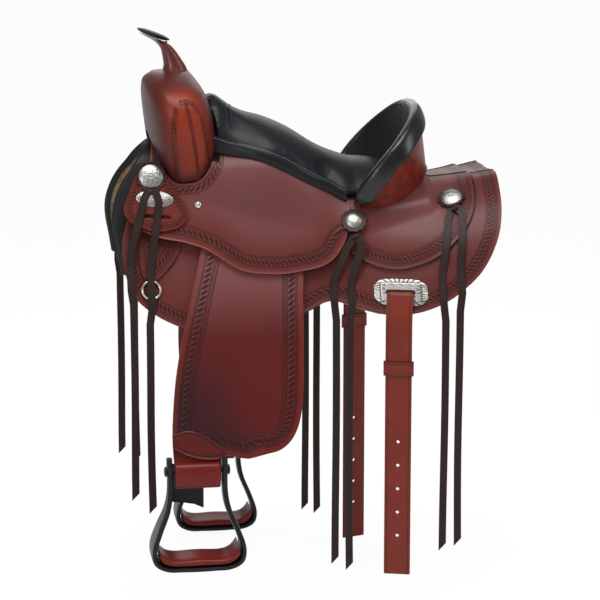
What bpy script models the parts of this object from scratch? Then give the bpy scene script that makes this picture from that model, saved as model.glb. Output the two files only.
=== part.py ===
"""Western saddle with flexible base: one named solid for each piece, in metres.

X runs from the fork to the rear, the near (left) side is -Y, Z is up.
The origin is on the underside's crest, where the saddle rests on the back.
"""
import math

import bmesh
import bpy
from mathutils import Matrix, Vector

# Flank surface: a round crest over the back, then a straight slope.
FLANK_ANGLE = math.radians(68)
CREST_RADIUS = 0.105
REAR_WIDENING = 0.095
REAR_WIDENING_LENGTH = 0.30
TAIL_START = 0.20
TAIL_LENGTH = 0.14
TAIL_LIFT = 0.020
TAIL_LIFT_SPREAD = 0.09
CREST_HEIGHTS = [(-0.34, 0.080), (-0.25, 0.075), (-0.15, 0.045), (-0.05, 0.010),
                 (0.05, -0.008), (0.15, -0.008), (0.25, 0.002), (0.36, 0.012)]

# Thicknesses and clearances.
TOUCH = 0.0003
FOOT_GAP = 0.0009
LAYER_GAP = 0.0010
CURVED_GAP = 0.0025
FLEECE_THICKNESS = 0.0085
SKIRT_THICKNESS = 0.0045
RIGGING_THICKNESS = 0.0030
STIRRUP_LEATHER_THICKNESS = 0.0041
FENDER_THICKNESS = 0.0040
JOCKEY_THICKNESS = 0.0040
BREAST_PLATE_THICKNESS = 0.0040
STRING_THICKNESS = 0.0018
BILLET_THICKNESS = 0.0045
STRING_WIDTH = 0.0127

# Layers, measured out from the underside.
SKIRT_BASE = FLEECE_THICKNESS + CURVED_GAP + 2 * TOUCH
ON_SKIRT = SKIRT_BASE + SKIRT_THICKNESS + LAYER_GAP
FENDER_BASE = ON_SKIRT + STIRRUP_LEATHER_THICKNESS + LAYER_GAP
PAD_TOP = FENDER_BASE + FENDER_THICKNESS
JOCKEY_BASE = PAD_TOP + CURVED_GAP
ON_JOCKEY = JOCKEY_BASE + JOCKEY_THICKNESS + LAYER_GAP
BREAST_PLATE_BASE = ON_JOCKEY
BREAST_PLATE_TOP = BREAST_PLATE_BASE + BREAST_PLATE_THICKNESS
SEAT_RISES = [(-0.27, 0.0), (-0.20, 0.008), (-0.145, 0.020), (-0.08, 0.046),
              (-0.03, 0.041), (0.03, 0.015), (0.08, 0.0)]
PAD_RISE_SHARE = 0.95
SEAT_RISE_START = 0.055
SEAT_RISE_END = 0.125
PAD_REAR = 0.200
PAD_HALF_WIDTH = 0.100

# Outlines on the flank: x along the saddle, s down from the crest.
CREST_SEAM = 0.0006
CREST_CROWDING = 1.5
SKIRT_TOP = [(-0.262, CREST_SEAM), (0.332, CREST_SEAM)]
SKIRT_EDGE = [(-0.263, 0.004), (-0.268, 0.067), (-0.295, 0.112), (-0.313, 0.153), (-0.318, 0.202),
              (-0.311, 0.261), (-0.296, 0.295), (-0.270, 0.318), (-0.240, 0.332), (-0.200, 0.338),
              (-0.110, 0.305), (-0.016, 0.265), (0.026, 0.241), (0.055, 0.247), (0.115, 0.274),
              (0.165, 0.286), (0.204, 0.284), (0.241, 0.274), (0.276, 0.253), (0.305, 0.210),
              (0.318, 0.165), (0.324, 0.110), (0.329, 0.050), (0.333, 0.004)]
FLEECE_MARGIN = 0.005
SEAT_JOCKEY_TOP = [(-0.264, 0.092), (-0.240, 0.104), (-0.205, 0.108), (-0.168, 0.092),
                   (-0.150, 0.060), (-0.140, 0.010), (-0.060, 0.004), (0.066, 0.004)]
SEAT_JOCKEY_EDGE = [(-0.268, 0.094), (-0.288, 0.118), (-0.302, 0.150), (-0.292, 0.176),
                    (-0.256, 0.192), (-0.214, 0.194),
                    (-0.181, 0.198), (-0.125, 0.219), (-0.075, 0.214), (-0.024, 0.200),
                    (0.028, 0.178), (0.055, 0.142), (0.0665, 0.100), (0.067, 0.010)]
REAR_JOCKEY_TOP = [(0.0690, CREST_SEAM), (0.284, CREST_SEAM)]
REAR_JOCKEY_EDGE = [(0.0690, 0.006), (0.0690, 0.115), (0.058, 0.150), (0.074, 0.170),
                    (0.107, 0.193), (0.139, 0.206), (0.175, 0.208), (0.208, 0.202),
                    (0.240, 0.187), (0.262, 0.166), (0.276, 0.138), (0.283, 0.100),
                    (0.286, 0.050), (0.287, 0.006)]
BREAST_PLATE_LEFT_EDGE = [(-0.268, 0.062), (-0.290, 0.095), (-0.308, 0.130), (-0.314, 0.155),
                          (-0.300, 0.178)]
BREAST_PLATE_RIGHT_EDGE = [(-0.258, 0.064), (-0.236, 0.095), (-0.214, 0.128), (-0.208, 0.148),
                           (-0.240, 0.184)]
RIGGING_LEFT_EDGE = [(-0.286, 0.176), (-0.290, 0.215), (-0.288, 0.245), (-0.284, 0.262)]
RIGGING_RIGHT_EDGE = [(-0.220, 0.176), (-0.226, 0.215), (-0.250, 0.250), (-0.262, 0.262)]

# Fender plane: x, and d down the slope from the hanging ring's centre.
RING_X = -0.150
RING_S = 0.140
RING_RADIUS = 0.016
RING_WIRE = 0.0022
RING_ROOM = 0.0007
STRAP_WIDTH = 0.024
STRAP_THICKNESS = 0.0030
STRAP_END = 0.133
STRAP_SWELL = 0.107
FENDER_FRONT_EDGE = [(-0.172, 0.010), (-0.180, 0.022), (-0.184, 0.034), (-0.188, 0.048),
                     (-0.214, 0.150), (-0.238, 0.253), (-0.249, 0.340), (-0.250, 0.384)]
FENDER_REAR_EDGE = [(-0.128, 0.010), (-0.110, 0.022), (-0.055, 0.036), (-0.021, 0.072),
                    (-0.021, 0.140), (-0.030, 0.240), (-0.042, 0.327), (-0.058, 0.370),
                    (-0.092, 0.391)]
LEATHER_FRONT_EDGE = [(-0.167, 0.0145), (-0.190, 0.100), (-0.224, 0.280), (-0.244, 0.350)]
LEATHER_REAR_EDGE = [(-0.133, 0.0145), (-0.132, 0.100), (-0.158, 0.280), (-0.180, 0.350)]
BOLT_X = -0.212
BOLT_DROP = 0.4165
BOLT_RADIUS = 0.0050
BOLT_CLEARANCE = 0.0004
BOLT_LOOP_RADIUS = 0.0150
FAR_LET_DOWN = 0.1155
FAR_SWING = math.radians(10.2)
HOBBLE_WIDTH = 0.056
HOBBLE_LENGTH = 0.068
HOBBLE_THICKNESS = 0.0030

# Stirrup, from the bolt's centre.
STIRRUP_LINE = [(0.0455, 0.022), (0.0450, -0.030), (0.0500, -0.058), (0.0640, -0.090),
                (0.0735, -0.116), (0.0700, -0.134), (0.0520, -0.1435), (0.0260, -0.1450),
                (0.0, -0.1455)]
STIRRUP_WALL = 0.009
STIRRUP_NECK_DEPTH = 0.026
STIRRUP_TREAD_DEPTH = 0.066
TREAD_LENGTH = 0.122
TREAD_HEIGHT = 0.013
TREAD_EAR = 0.010

# Fork, horn and seat.
FORK_LEVELS = [(-0.060, -0.2430, -0.166, 0.060), (0.014, -0.2480, -0.161, 0.091),
               (0.036, -0.2530, -0.156, 0.104), (0.080, -0.2620, -0.150, 0.125),
               (0.120, -0.2670, -0.154, 0.132),
               (0.152, -0.2705, -0.161, 0.127), (0.176, -0.2715, -0.172, 0.107),
               (0.192, -0.2680, -0.183, 0.076), (0.203, -0.2540, -0.192, 0.042)]
FORK_LEATHER = 0.0045
HORN_SECTIONS = [(-0.2150, 0.2034, 0.0215, 0.0195), (-0.2155, 0.2120, 0.0190, 0.0165),
                 (-0.2200, 0.2250, 0.0160, 0.0140), (-0.2270, 0.2400, 0.0130, 0.0125),
                 (-0.2340, 0.2500, 0.0125, 0.0135), (-0.2395, 0.2560, 0.0165, 0.0180)]
HORN_TILT = math.radians(20)
HORN_POST_RADIUS = 0.0060
HORN_POST_LENGTH = 0.074
CAP_CENTRE = (-0.2510, 0.0, 0.2655)
CAP_RADIUS = 0.0285
CAP_THICKNESS = 0.0090
SEAT_FRONT = -0.168
SEAT_REAR = 0.150
SEAT_HALF_WIDTHS = [(-0.168, 0.048), (-0.120, 0.056), (-0.070, 0.064), (-0.020, 0.070),
                    (0.030, 0.074), (0.066, 0.086), (0.100, 0.082), (0.130, 0.062), (0.150, 0.030)]
SEAT_CROWNS = [(-0.168, 0.075), (-0.145, 0.060), (-0.120, 0.040), (-0.090, 0.027), (-0.020, 0.025),
               (0.070, 0.026), (0.150, 0.022)]
SEAT_EDGE = 0.006

# Cantle: rim in space and foot on the flank, for one half, from the middle outwards.
CANTLE_RIM = [(0.203, 0.000, 0.140), (0.199, 0.045, 0.133), (0.181, 0.090, 0.108),
              (0.138, 0.124, 0.062), (0.086, 0.133, 0.004)]
CANTLE_FOOT = [(0.222, 0.000), (0.215, 0.036), (0.188, 0.078), (0.146, 0.103), (0.088, 0.100)]
CANTLE_BACK_THICKNESS = 0.0030
CANTLE_CORE_THICKNESS = 0.0090
CANTLE_GAP = 0.0013
DISH_RIM_THICKNESS = 0.010
DISH_FOOT_THICKNESS = 0.056
ROLL_RADIUS = 0.0100
ROLL_HALF_WIDTH = 0.0150
ROLL_DEPTH = 0.0080
ROLL_GAP = 0.0039

# Metal fittings and strings.
CONCHO_RADIUS = 0.0150
CONCHO_HEIGHT = 0.0040
ROSETTE_RADIUS = 0.0200
ROSETTE_SCALLOPS = 10
ROSETTE_SCALLOP_DEPTH = 0.0016
ROSETTE_THICKNESS = 0.0026
FRONT_CONCHO = (-0.267, 0.090)
SEAT_CONCHO = (0.071, 0.118)
REAR_CONCHO = (0.241, 0.112)
SCREW_PLACE = (-0.190, 0.124)
SCREW_RADIUS = 0.0055
BREAST_CONCHO = (-0.262, 0.128)
BREAST_CONCHO_SIZE = (0.031, 0.014)
BREAST_CONCHO_HEIGHT = 0.0032
BREAST_SLOT = (-0.262, 0.158, 0.052, 0.007)
RIGGING_RING = (-0.273, 0.2795)
RIGGING_RING_RADIUS = 0.0150
RIGGING_RING_WIRE = 0.0022
CINCH_PLATE = (0.142, 0.246)
CINCH_PLATE_SIZE = (0.086, 0.046)
CINCH_PLATE_THICKNESS = 0.0028
CINCH_PLATE_BASE = ON_SKIRT - LAYER_GAP + 2 * TOUCH
CINCH_SLOT = (0.050, 0.009)
BILLET_WIDTH = 0.0445
BILLET_LIFT = 0.0032
BILLET_ROOT_THICKNESS = 0.0026
NEAR_BILLET_END = -0.640
FAR_BILLET_END = -0.700
BILLET_BEND = 0.012
BILLET_HOLES = 5
BILLET_HOLE_RADIUS = 0.0030
BILLET_HOLE_SPACING = 0.041
BILLET_LAST_HOLE = 0.068
KEEPER_DROP = 0.060
KEEPER_HEIGHT = 0.024
KEEPER_WALL = 0.0026
KEEPER_CLEARANCE = 0.0006
STRING_SPREAD = 0.0085
FRONT_STRING_ENDS = [(-0.303, -0.499), (-0.277, -0.520)]
SEAT_STRING_ENDS = [(0.036, -0.624), (0.058, -0.634)]
REAR_STRING_ENDS = [(0.2130, -0.594), (0.2370, -0.586)]
STRING_SLANT = 0.016


# Helpers: curves and the flank surface.
def interpolate(table, x):
    """Smooth value from a table of (x, value) pairs."""
    if x <= table[0][0]:
        return table[0][1]
    if x >= table[-1][0]:
        return table[-1][1]
    index = max(i for i, entry in enumerate(table[:-1]) if entry[0] <= x)

    def slope(k):
        low = max(k - 1, 0)
        high = min(k + 1, len(table) - 1)
        return (table[high][1] - table[low][1]) / (table[high][0] - table[low][0])

    (x0, y0), (x1, y1) = table[index], table[index + 1]
    span = x1 - x0
    t = (x - x0) / span
    return ((2 * t**3 - 3 * t**2 + 1) * y0 + (t**3 - 2 * t**2 + t) * slope(index) * span
            + (3 * t**2 - 2 * t**3) * y1 + (t**3 - t**2) * slope(index + 1) * span)


def level(table, x):
    """Straight-line value from a table of (x, value) pairs."""
    for (x0, y0), (x1, y1) in zip(table, table[1:]):
        if x < x1:
            return y0 + (y1 - y0) * max(x - x0, 0.0) / (x1 - x0)
    return table[-1][1]


def ease(value):
    """Smooth step from 0 to 1."""
    value = min(max(value, 0.0), 1.0)
    return value * value * (3 - 2 * value)


def along(points, u):
    """Point at share u of the length of a smooth curve through the points."""
    points = [Vector(p) for p in points]
    lengths = [0.0]
    for a, b in zip(points, points[1:]):
        lengths.append(lengths[-1] + (b - a).length)
    tables = [[(length, p[k]) for length, p in zip(lengths, points)] for k in range(len(points[0]))]
    return Vector([interpolate(table, u * lengths[-1]) for table in tables])


def crest_radius(x):
    """Radius of the crest, chosen so that the front and middle flanks are one plane."""
    fall = math.cos(FLANK_ANGLE) / (math.sin(FLANK_ANGLE) * math.tan(FLANK_ANGLE / 2))
    widening = REAR_WIDENING * ease(x / REAR_WIDENING_LENGTH)
    return CREST_RADIUS - fall * interpolate(CREST_HEIGHTS, x) + widening


def flank(x, s, t):
    """Point at s down the flank and t out of the underside; s below 0 is the left side."""
    side = -1 if s < 0 else 1
    s = abs(s)
    radius = crest_radius(x)
    angle = min(s / radius, FLANK_ANGLE)
    straight = max(s - radius * FLANK_ANGLE, 0.0)
    y = radius * math.sin(angle) + straight * math.cos(angle) + t * math.sin(angle)
    z = interpolate(CREST_HEIGHTS, x) - radius * (1 - math.cos(angle)) - straight * math.sin(angle)
    lift = TAIL_LIFT * ease((x - TAIL_START) / TAIL_LENGTH) * ease(s / TAIL_LIFT_SPREAD)
    return Vector((x, side * y, z + t * math.cos(angle) + lift))


def flank_frame(x, s, t):
    """Matrix at a flank point: local Z is the surface's normal, local X runs to the rear."""
    step = 0.004
    side = -1 if s < 0 else 1
    rear = (flank(x + step, s, t) - flank(x - step, s, t)).normalized()
    down = (flank(x, s + side * step, t) - flank(x, s - side * step, t)).normalized()
    out = rear.cross(down).normalized() * side
    return Matrix((rear, out.cross(rear), out)).transposed().to_4x4(), flank(x, s, t)


def seat_rise(x, s):
    """Extra height of the ground seat under the jockeys."""
    return interpolate(SEAT_RISES, x) * (1 - ease((abs(s) - SEAT_RISE_START) / (SEAT_RISE_END - SEAT_RISE_START)))


def pad_top(x, s):
    return PAD_TOP - 2 * TOUCH + PAD_RISE_SHARE * seat_rise(x, s)


def seat_jockey_base(x, s):
    return JOCKEY_BASE + seat_rise(x, s)


def rear_jockey_base(x, s):
    """The rear jockey lies on the pad, then comes down onto the skirt."""
    on_pad = (1 - ease((x - PAD_REAR - 0.002) / 0.020)) * (1 - ease((abs(s) - PAD_HALF_WIDTH - 0.003) / 0.035))
    return ON_SKIRT + (JOCKEY_BASE - ON_SKIRT) * on_pad + seat_rise(x, s)


def fender_plane(side, x, d, t):
    """Point of the fender's plane; the far side hangs swung back by FAR_SWING."""
    turn = FAR_SWING if side > 0 else 0.0
    dx, dd = x - RING_X, d
    turned_x = dx * math.cos(turn) + dd * math.sin(turn)
    turned_d = dd * math.cos(turn) - dx * math.sin(turn)
    origin = flank(RING_X, side * RING_S, 0.0)
    sine, cosine = math.sin(FLANK_ANGLE), math.cos(FLANK_ANGLE)
    y = side * (abs(origin.y) + turned_d * cosine + t * sine)
    return Vector((RING_X + turned_x, y, origin.z - turned_d * sine + t * cosine))


# Helpers: objects.
def material(name, colour, roughness, metallic=0.0):
    found = bpy.data.materials.get(name)
    if found:
        return found
    made = bpy.data.materials.new(name)
    made.use_nodes = True
    shader = made.node_tree.nodes["Principled BSDF"]
    shader.inputs["Base Color"].default_value = (*colour, 1)
    shader.inputs["Roughness"].default_value = roughness
    shader.inputs["Metallic"].default_value = metallic
    return made


def red_leather():
    return material("red_leather", (0.20, 0.035, 0.025), 0.5)


def bright_leather():
    return material("bright_leather", (0.32, 0.045, 0.03), 0.4)


def black_leather():
    return material("black_leather", (0.015, 0.015, 0.017), 0.35)


def brown_leather():
    return material("brown_leather", (0.05, 0.022, 0.014), 0.6)


def silver():
    return material("silver", (0.75, 0.73, 0.68), 0.3, 1.0)


def steel():
    return material("steel", (0.45, 0.45, 0.46), 0.35, 1.0)


def fleece():
    return material("fleece", (0.45, 0.28, 0.15), 0.95)


def felt():
    return material("felt", (0.12, 0.11, 0.10), 0.9)


def core_plastic():
    return material("core_plastic", (0.25, 0.22, 0.16), 0.6)


def finish(name, bm, skin, smooth=35):
    """Turn a bmesh into the named object."""
    bmesh.ops.recalc_face_normals(bm, faces=bm.faces)
    if bm.calc_volume(signed=True) < 0:
        bmesh.ops.reverse_faces(bm, faces=bm.faces[:])
    mesh = bpy.data.meshes.new(name)
    bm.to_mesh(mesh)
    bm.free()
    mesh.materials.append(skin)
    mesh.shade_smooth()
    mesh.set_sharp_from_angle(angle=math.radians(smooth))
    piece = bpy.data.objects.new(name, mesh)
    bpy.context.scene.collection.objects.link(piece)
    return piece


def sheet(name, place, columns, rows, skin):
    """Solid sheet: place(u, v, top) gives the lower and the upper surface."""
    bm = bmesh.new()
    bmesh.ops.create_grid(bm, x_segments=columns, y_segments=rows, size=0.5)
    shares = {}
    for vertex in bm.verts:
        shares[vertex] = (vertex.co.x + 0.5, vertex.co.y + 0.5)
    upper = bmesh.ops.extrude_face_region(bm, geom=bm.faces[:])
    raised = [item for item in upper["geom"] if isinstance(item, bmesh.types.BMVert)]
    for vertex in raised:
        shares[vertex] = (vertex.co.x + 0.5, vertex.co.y + 0.5)
    top = set(raised)
    for vertex, (u, v) in shares.items():
        vertex.co = place(u, v, vertex in top)
    return finish(name, bm, skin)


def flank_panel(name, side, inner, outer, base, thickness, columns, rows, skin, crowding=1.0):
    """Leather panel between two curves of (x, s); base is a number or a function of (x, s)."""
    def place(u, v, top):
        x, s = along(inner, u).lerp(along(outer, u), v**crowding)
        low = base(x, s) if callable(base) else base
        return flank(x, side * s, low + (thickness if top else 0.0))
    return sheet(name, place, columns, rows, skin)


def fender_panel(name, side, front, rear, base, thickness, columns, rows, skin):
    """Panel in the fender's plane between its front and rear edges."""
    def place(u, v, top):
        x, d = along(front, u).lerp(along(rear, u), v)
        return fender_plane(side, x, d, base + (thickness if top else 0.0))
    return sheet(name, place, columns, rows, skin)


def loft(name, rings, skin, smooth=35):
    """Closed solid through a list of rings with equal point counts."""
    bm = bmesh.new()
    loops = [[bm.verts.new(point) for point in ring] for ring in rings]
    count = len(loops[0])
    for low, high in zip(loops, loops[1:]):
        for k in range(count):
            bm.faces.new((low[k], low[(k + 1) % count], high[(k + 1) % count], high[k]))
    bm.faces.new(loops[0])
    bm.faces.new(loops[-1])
    return finish(name, bm, skin, smooth)


def spun(bm, geometry, steps, matrix, before):
    """Full turn of a profile about local Z, then placed by the matrix."""
    bmesh.ops.spin(bm, geom=geometry, cent=(0, 0, 0), axis=(0, 0, 1), angle=2 * math.pi,
                   steps=steps, use_merge=True)
    made = [vertex for vertex in bm.verts if vertex not in before]
    bmesh.ops.remove_doubles(bm, verts=made, dist=0.00001)
    made = [vertex for vertex in bm.verts if vertex not in before]
    bmesh.ops.transform(bm, matrix=matrix, verts=made)


def turned(bm, profile, steps, matrix):
    """Revolve a closed (radius, height) profile about local Z."""
    before = set(bm.verts)
    points = [bm.verts.new((radius, 0, height)) for radius, height in profile]
    edges = [bm.edges.new(pair) for pair in zip(points, points[1:])]
    spun(bm, points + edges, steps, matrix, before)


def ring_mesh(bm, radius, wire, steps, sides, matrix):
    """Round ring about local Z."""
    before = set(bm.verts)
    section = bmesh.ops.create_circle(bm, segments=sides, radius=wire)["verts"]
    bmesh.ops.rotate(bm, verts=section, cent=(0, 0, 0), matrix=Matrix.Rotation(math.pi / 2, 3, "X"))
    bmesh.ops.translate(bm, verts=section, vec=(radius, 0, 0))
    edges = list({edge for vertex in section for edge in vertex.link_edges})
    spun(bm, section + edges, steps, matrix, before)


def box_mesh(bm, size, matrix):
    bmesh.ops.create_cube(bm, size=1.0, matrix=matrix @ Matrix.Diagonal((*size, 1.0)))


def slab(bm, outline, rise):
    """Flat plate: an outline pushed out by the rise."""
    face = bm.faces.new([bm.verts.new(point) for point in outline])
    upper = bmesh.ops.extrude_face_region(bm, geom=[face])
    raised = [item for item in upper["geom"] if isinstance(item, bmesh.types.BMVert)]
    bmesh.ops.translate(bm, verts=raised, vec=rise)


def cylinder_mesh(bm, radius, length, sides, matrix):
    bmesh.ops.create_cone(bm, cap_ends=True, segments=sides, radius1=radius, radius2=radius,
                          depth=length, matrix=matrix)


def cutter(name, bm):
    """Hidden solid used by a Boolean."""
    tool = finish(name, bm, felt())
    tool.hide_render = True
    tool.display_type = "WIRE"
    return tool


def cut(piece, tool, operation="DIFFERENCE"):
    modifier = piece.modifiers.new(tool.name, "BOOLEAN")
    modifier.operation = operation
    modifier.object = tool
    modifier.solver = "EXACT"


def pivot(name, place):
    """Empty on a joint's axis."""
    empty = bpy.data.objects.new(name, None)
    empty.location = place
    empty.empty_display_size = 0.03
    bpy.context.scene.collection.objects.link(empty)
    return empty


def hang(piece, empty):
    """Parent a piece to its joint's empty without moving it."""
    piece.parent = empty
    piece.matrix_parent_inverse = Matrix.Translation(-empty.location)
    return piece


def side_name(side):
    return "left" if side < 0 else "right"


def inset(points, margin):
    """Outline points moved towards the panel's middle by a margin."""
    middle = sum((Vector(p) for p in points), Vector((0, 0))) / len(points)
    return [tuple(Vector(p) + (middle - Vector(p)).normalized() * margin) for p in points]


# Base, fleece, skirts and jockeys.
def make_base_pad():
    outer = [(-0.256, 0.020), (-0.250, 0.072), (-0.220, PAD_HALF_WIDTH - 0.006), (-0.100, PAD_HALF_WIDTH),
             (0.100, PAD_HALF_WIDTH), (0.165, PAD_HALF_WIDTH - 0.010), (0.193, 0.060), (PAD_REAR, 0.020)]

    def place(u, v, top):
        x, s = along(outer, u)
        s = s * (2 * v - 1)
        t = pad_top(x, s) if top else ON_SKIRT + FOOT_GAP
        return flank(x, s, t)
    pad = sheet("base_pad", place, 22, 14, felt())

    def groove(u, v, top):
        x = RING_X + (u - 0.5) * (STRAP_WIDTH + 4 * TOUCH)
        s = PAD_HALF_WIDTH * 1.1 * (2 * v - 1)
        return flank(x, s, ON_SKIRT + STRAP_THICKNESS + FOOT_GAP if top else SKIRT_BASE)
    cut(pad, cutter_sheet("strap_groove_cutter", groove, 2, 20))


def make_hanger_strap():
    """Strap across the saddle: it carries both fender rings, and thickens round them."""
    def place(u, v, top):
        x = RING_X + (u - 0.5) * STRAP_WIDTH
        s = STRAP_END * (2 * v - 1)
        swell = ease((abs(s) - STRAP_SWELL) / 0.006)
        high = ON_SKIRT + STRAP_THICKNESS
        high += (JOCKEY_BASE - 2 * TOUCH - high) * swell
        return flank(x, s, high if top else ON_SKIRT)
    return sheet("hanger_strap", place, 2, 22, brown_leather())


def make_fleece():
    """Lining under both skirts, in one piece across the crest."""
    edge = inset(SKIRT_EDGE, FLEECE_MARGIN)

    def place(u, v, top):
        x, s = along(edge, u)
        share = 2 * v - 1
        s *= math.copysign(abs(share) ** CREST_CROWDING, share)
        return flank(x, s, FLEECE_THICKNESS if top else 0.0)
    return sheet("fleece_lining", place, 18, 20, fleece())


def make_skirt(side):
    return flank_panel("skirt_" + side_name(side), side, SKIRT_TOP, SKIRT_EDGE, SKIRT_BASE,
                       SKIRT_THICKNESS, 24, 10, red_leather(), CREST_CROWDING)


def make_seat_jockey(side):
    return flank_panel("seat_jockey_" + side_name(side), side, SEAT_JOCKEY_TOP, SEAT_JOCKEY_EDGE,
                       seat_jockey_base, JOCKEY_THICKNESS, 24, 9, red_leather(), 1.1)


def make_rear_jockey(side):
    return flank_panel("rear_jockey_" + side_name(side), side, REAR_JOCKEY_TOP, REAR_JOCKEY_EDGE,
                       rear_jockey_base, JOCKEY_THICKNESS, 20, 10, red_leather(), 1.1)


# Fork and horn.
def fork_ring(level, shrink, count=28):
    """Rounded section of the fork at one height."""
    z, front, rear, width = level
    half_x = (rear - front) / 2 - shrink
    half_y = width - shrink
    centre = (front + rear) / 2
    ring = []
    for k in range(count):
        angle = 2 * math.pi * k / count
        across, out = math.cos(angle), math.sin(angle)
        power = 0.62
        x = centre + half_x * math.copysign(abs(across) ** power, across)
        y = half_y * math.copysign(abs(out) ** 0.85, out)
        ring.append((x, y, z - shrink * (z > 0.18)))
    return ring


def pad_block(name, clearance):
    """Everything under the base pad's upper surface, as a cutter."""
    def place(u, v, top):
        x = -0.320 + 0.260 * u
        s = 0.200 * (2 * v - 1)
        point = flank(x, s, pad_top(x, s) + clearance)
        if not top:
            point.z = -0.250
        return point
    return cutter_sheet(name, place, 16, 28)


def cutter_sheet(name, place, columns, rows):
    tool = sheet(name, place, columns, rows, felt())
    tool.hide_render = True
    tool.display_type = "WIRE"
    return tool


def make_fork():
    """The rigid insert and the leather over it, both standing on the pad."""
    block = pad_block("fork_foot_cutter", FOOT_GAP)
    core = loft("fork_insert", [fork_ring(level, FORK_LEATHER + TOUCH) for level in FORK_LEVELS],
                core_plastic())
    cut(core, block)
    cover = loft("fork_cover", [fork_ring(level, 0.0) for level in FORK_LEVELS], red_leather())
    rings = [fork_ring(level, FORK_LEATHER) for level in FORK_LEVELS]
    rings[0] = [(x, y, z - 0.02) for x, y, z in rings[0]]
    hollow = loft("fork_hollow_cutter", rings, felt())
    hollow.hide_render = True
    hollow.display_type = "WIRE"
    cut(cover, hollow)
    cut(cover, block)
    post = bmesh.new()
    cylinder_mesh(post, HORN_POST_RADIUS, HORN_POST_LENGTH, 12, horn_post_frame())
    cut(core, cutter("horn_post_core", post), "UNION")
    post = bmesh.new()
    cylinder_mesh(post, HORN_POST_RADIUS + TOUCH, HORN_POST_LENGTH + 2 * TOUCH, 12, horn_post_frame())
    post_hole = cutter("horn_post_cutter", post)
    cut(cover, post_hole)
    return post_hole


def horn_post_frame():
    return Matrix.Translation((-0.2215, 0, 0.2170)) @ Matrix.Rotation(-math.radians(19), 4, "Y")


def ellipse_ring(x, z, radius_x, radius_y, tilt, count=16):
    ring = []
    for k in range(count):
        angle = 2 * math.pi * k / count
        local = Vector((radius_x * math.cos(angle), radius_y * math.sin(angle), 0))
        ring.append(Matrix.Rotation(tilt, 3, "Y") @ local + Vector((x, 0, z)))
    return ring


def make_horn(post_hole):
    sections = HORN_SECTIONS
    rings = []
    for k, (x, z, radius_x, radius_y) in enumerate(sections):
        tilt = HORN_TILT * k / (len(sections) - 1)
        rings.append(ellipse_ring(x, z, radius_x, radius_y, tilt))
    neck = loft("horn_neck", rings, red_leather())
    cut(neck, post_hole)
    cap = bmesh.new()
    half = CAP_THICKNESS / 2
    profile = [(0.0, half), (CAP_RADIUS * 0.62, half * 0.9), (CAP_RADIUS * 0.92, half * 0.45),
               (CAP_RADIUS, 0.0), (CAP_RADIUS * 0.92, -half * 0.5), (CAP_RADIUS * 0.62, -half * 0.95),
               (0.0, -half)]
    turned(cap, profile, 28, Matrix.Translation(CAP_CENTRE) @ Matrix.Rotation(HORN_TILT, 4, "Y"))
    finish("horn_cap", cap, black_leather())


# Seat and cantle.
def fork_envelope(name, clearance):
    tool = loft(name, [fork_ring(level, -clearance) for level in FORK_LEVELS], felt())
    tool.hide_render = True
    tool.display_type = "WIRE"
    return tool


def cantle_foot(u):
    """Foot of the cantle's back on the rear jockeys, u from -1 (left) to 1 (right)."""
    x, s = along(CANTLE_FOOT, abs(u))
    return flank(x, math.copysign(s, u), seat_floor(x, s))


def cantle_rim(u):
    x, y, z = along(CANTLE_RIM, abs(u))
    return Vector((x, math.copysign(y, u), z))


def cantle_point(u, v, depth):
    """Point of the cantle wall: v from foot to rim, depth towards the seat."""
    foot, rim = cantle_foot(u), cantle_rim(u)
    outside = foot.lerp(rim, v)
    inward = Vector((0.060, 0.0, outside.z)) - outside
    inward.z = 0.0
    inward.normalize()
    return outside + inward * depth


def under_roll(u):
    """Share of the wall's height where it ends, just under the roll."""
    return 1 - (ROLL_RADIUS + ROLL_GAP) / (cantle_rim(u) - cantle_foot(u)).length


def make_cantle_layer(name, near_depth, far_depth, skin, columns=20, rows=3):
    """Wall layer between two depths; each depth is a number or a function of (u, v)."""
    def place(u, v, front):
        u = 2 * u - 1
        v = 1.08 * v - 0.08
        depth = far_depth if front else near_depth
        if callable(depth):
            depth = depth(u, v)
        return cantle_point(u, v * under_roll(u), depth)
    return sheet(name, place, columns, rows, skin)


def dish_depth(clearance):
    start = CANTLE_BACK_THICKNESS + CANTLE_CORE_THICKNESS + 2 * CANTLE_GAP

    def depth(u, v):
        spread = DISH_RIM_THICKNESS + (DISH_FOOT_THICKNESS - DISH_RIM_THICKNESS) * (1 - max(v, 0.0)) ** 2.0
        return start + spread * (1 - 0.45 * abs(u) ** 3) + clearance
    return depth


def seat_floor(x, s):
    """Top of the jockeys, where the seat and the cantle stand."""
    if x < 0.068:
        return seat_jockey_base(x, s) + JOCKEY_THICKNESS
    return rear_jockey_base(x, s) + JOCKEY_THICKNESS


def make_cantle():
    """Leather back, rigid core and padded dish on the rear jockeys, and the roll on their rim."""
    def floor_place(u, v, top):
        x = 0.055 + 0.185 * u
        s = 0.150 * (2 * v - 1)
        point = flank(x, s, seat_floor(x, s) + CURVED_GAP)
        if not top:
            point.z = -0.150
        return point
    floor = cutter_sheet("cantle_floor_cutter", floor_place, 12, 18)
    back = make_cantle_layer("cantle_back", 0.0, CANTLE_BACK_THICKNESS, red_leather())
    core_start = CANTLE_BACK_THICKNESS + CANTLE_GAP
    core = make_cantle_layer("cantle_insert", core_start, core_start + CANTLE_CORE_THICKNESS, core_plastic())
    dish_start = core_start + CANTLE_CORE_THICKNESS + CANTLE_GAP
    dish = make_cantle_layer("cantle_dish", dish_start, dish_depth(0.0), black_leather(), rows=5)
    for layer in (back, core, dish):
        cut(layer, floor)
    loft("cantle_roll", roll_rings(ROLL_RADIUS, 21, 10), black_leather())


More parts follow.
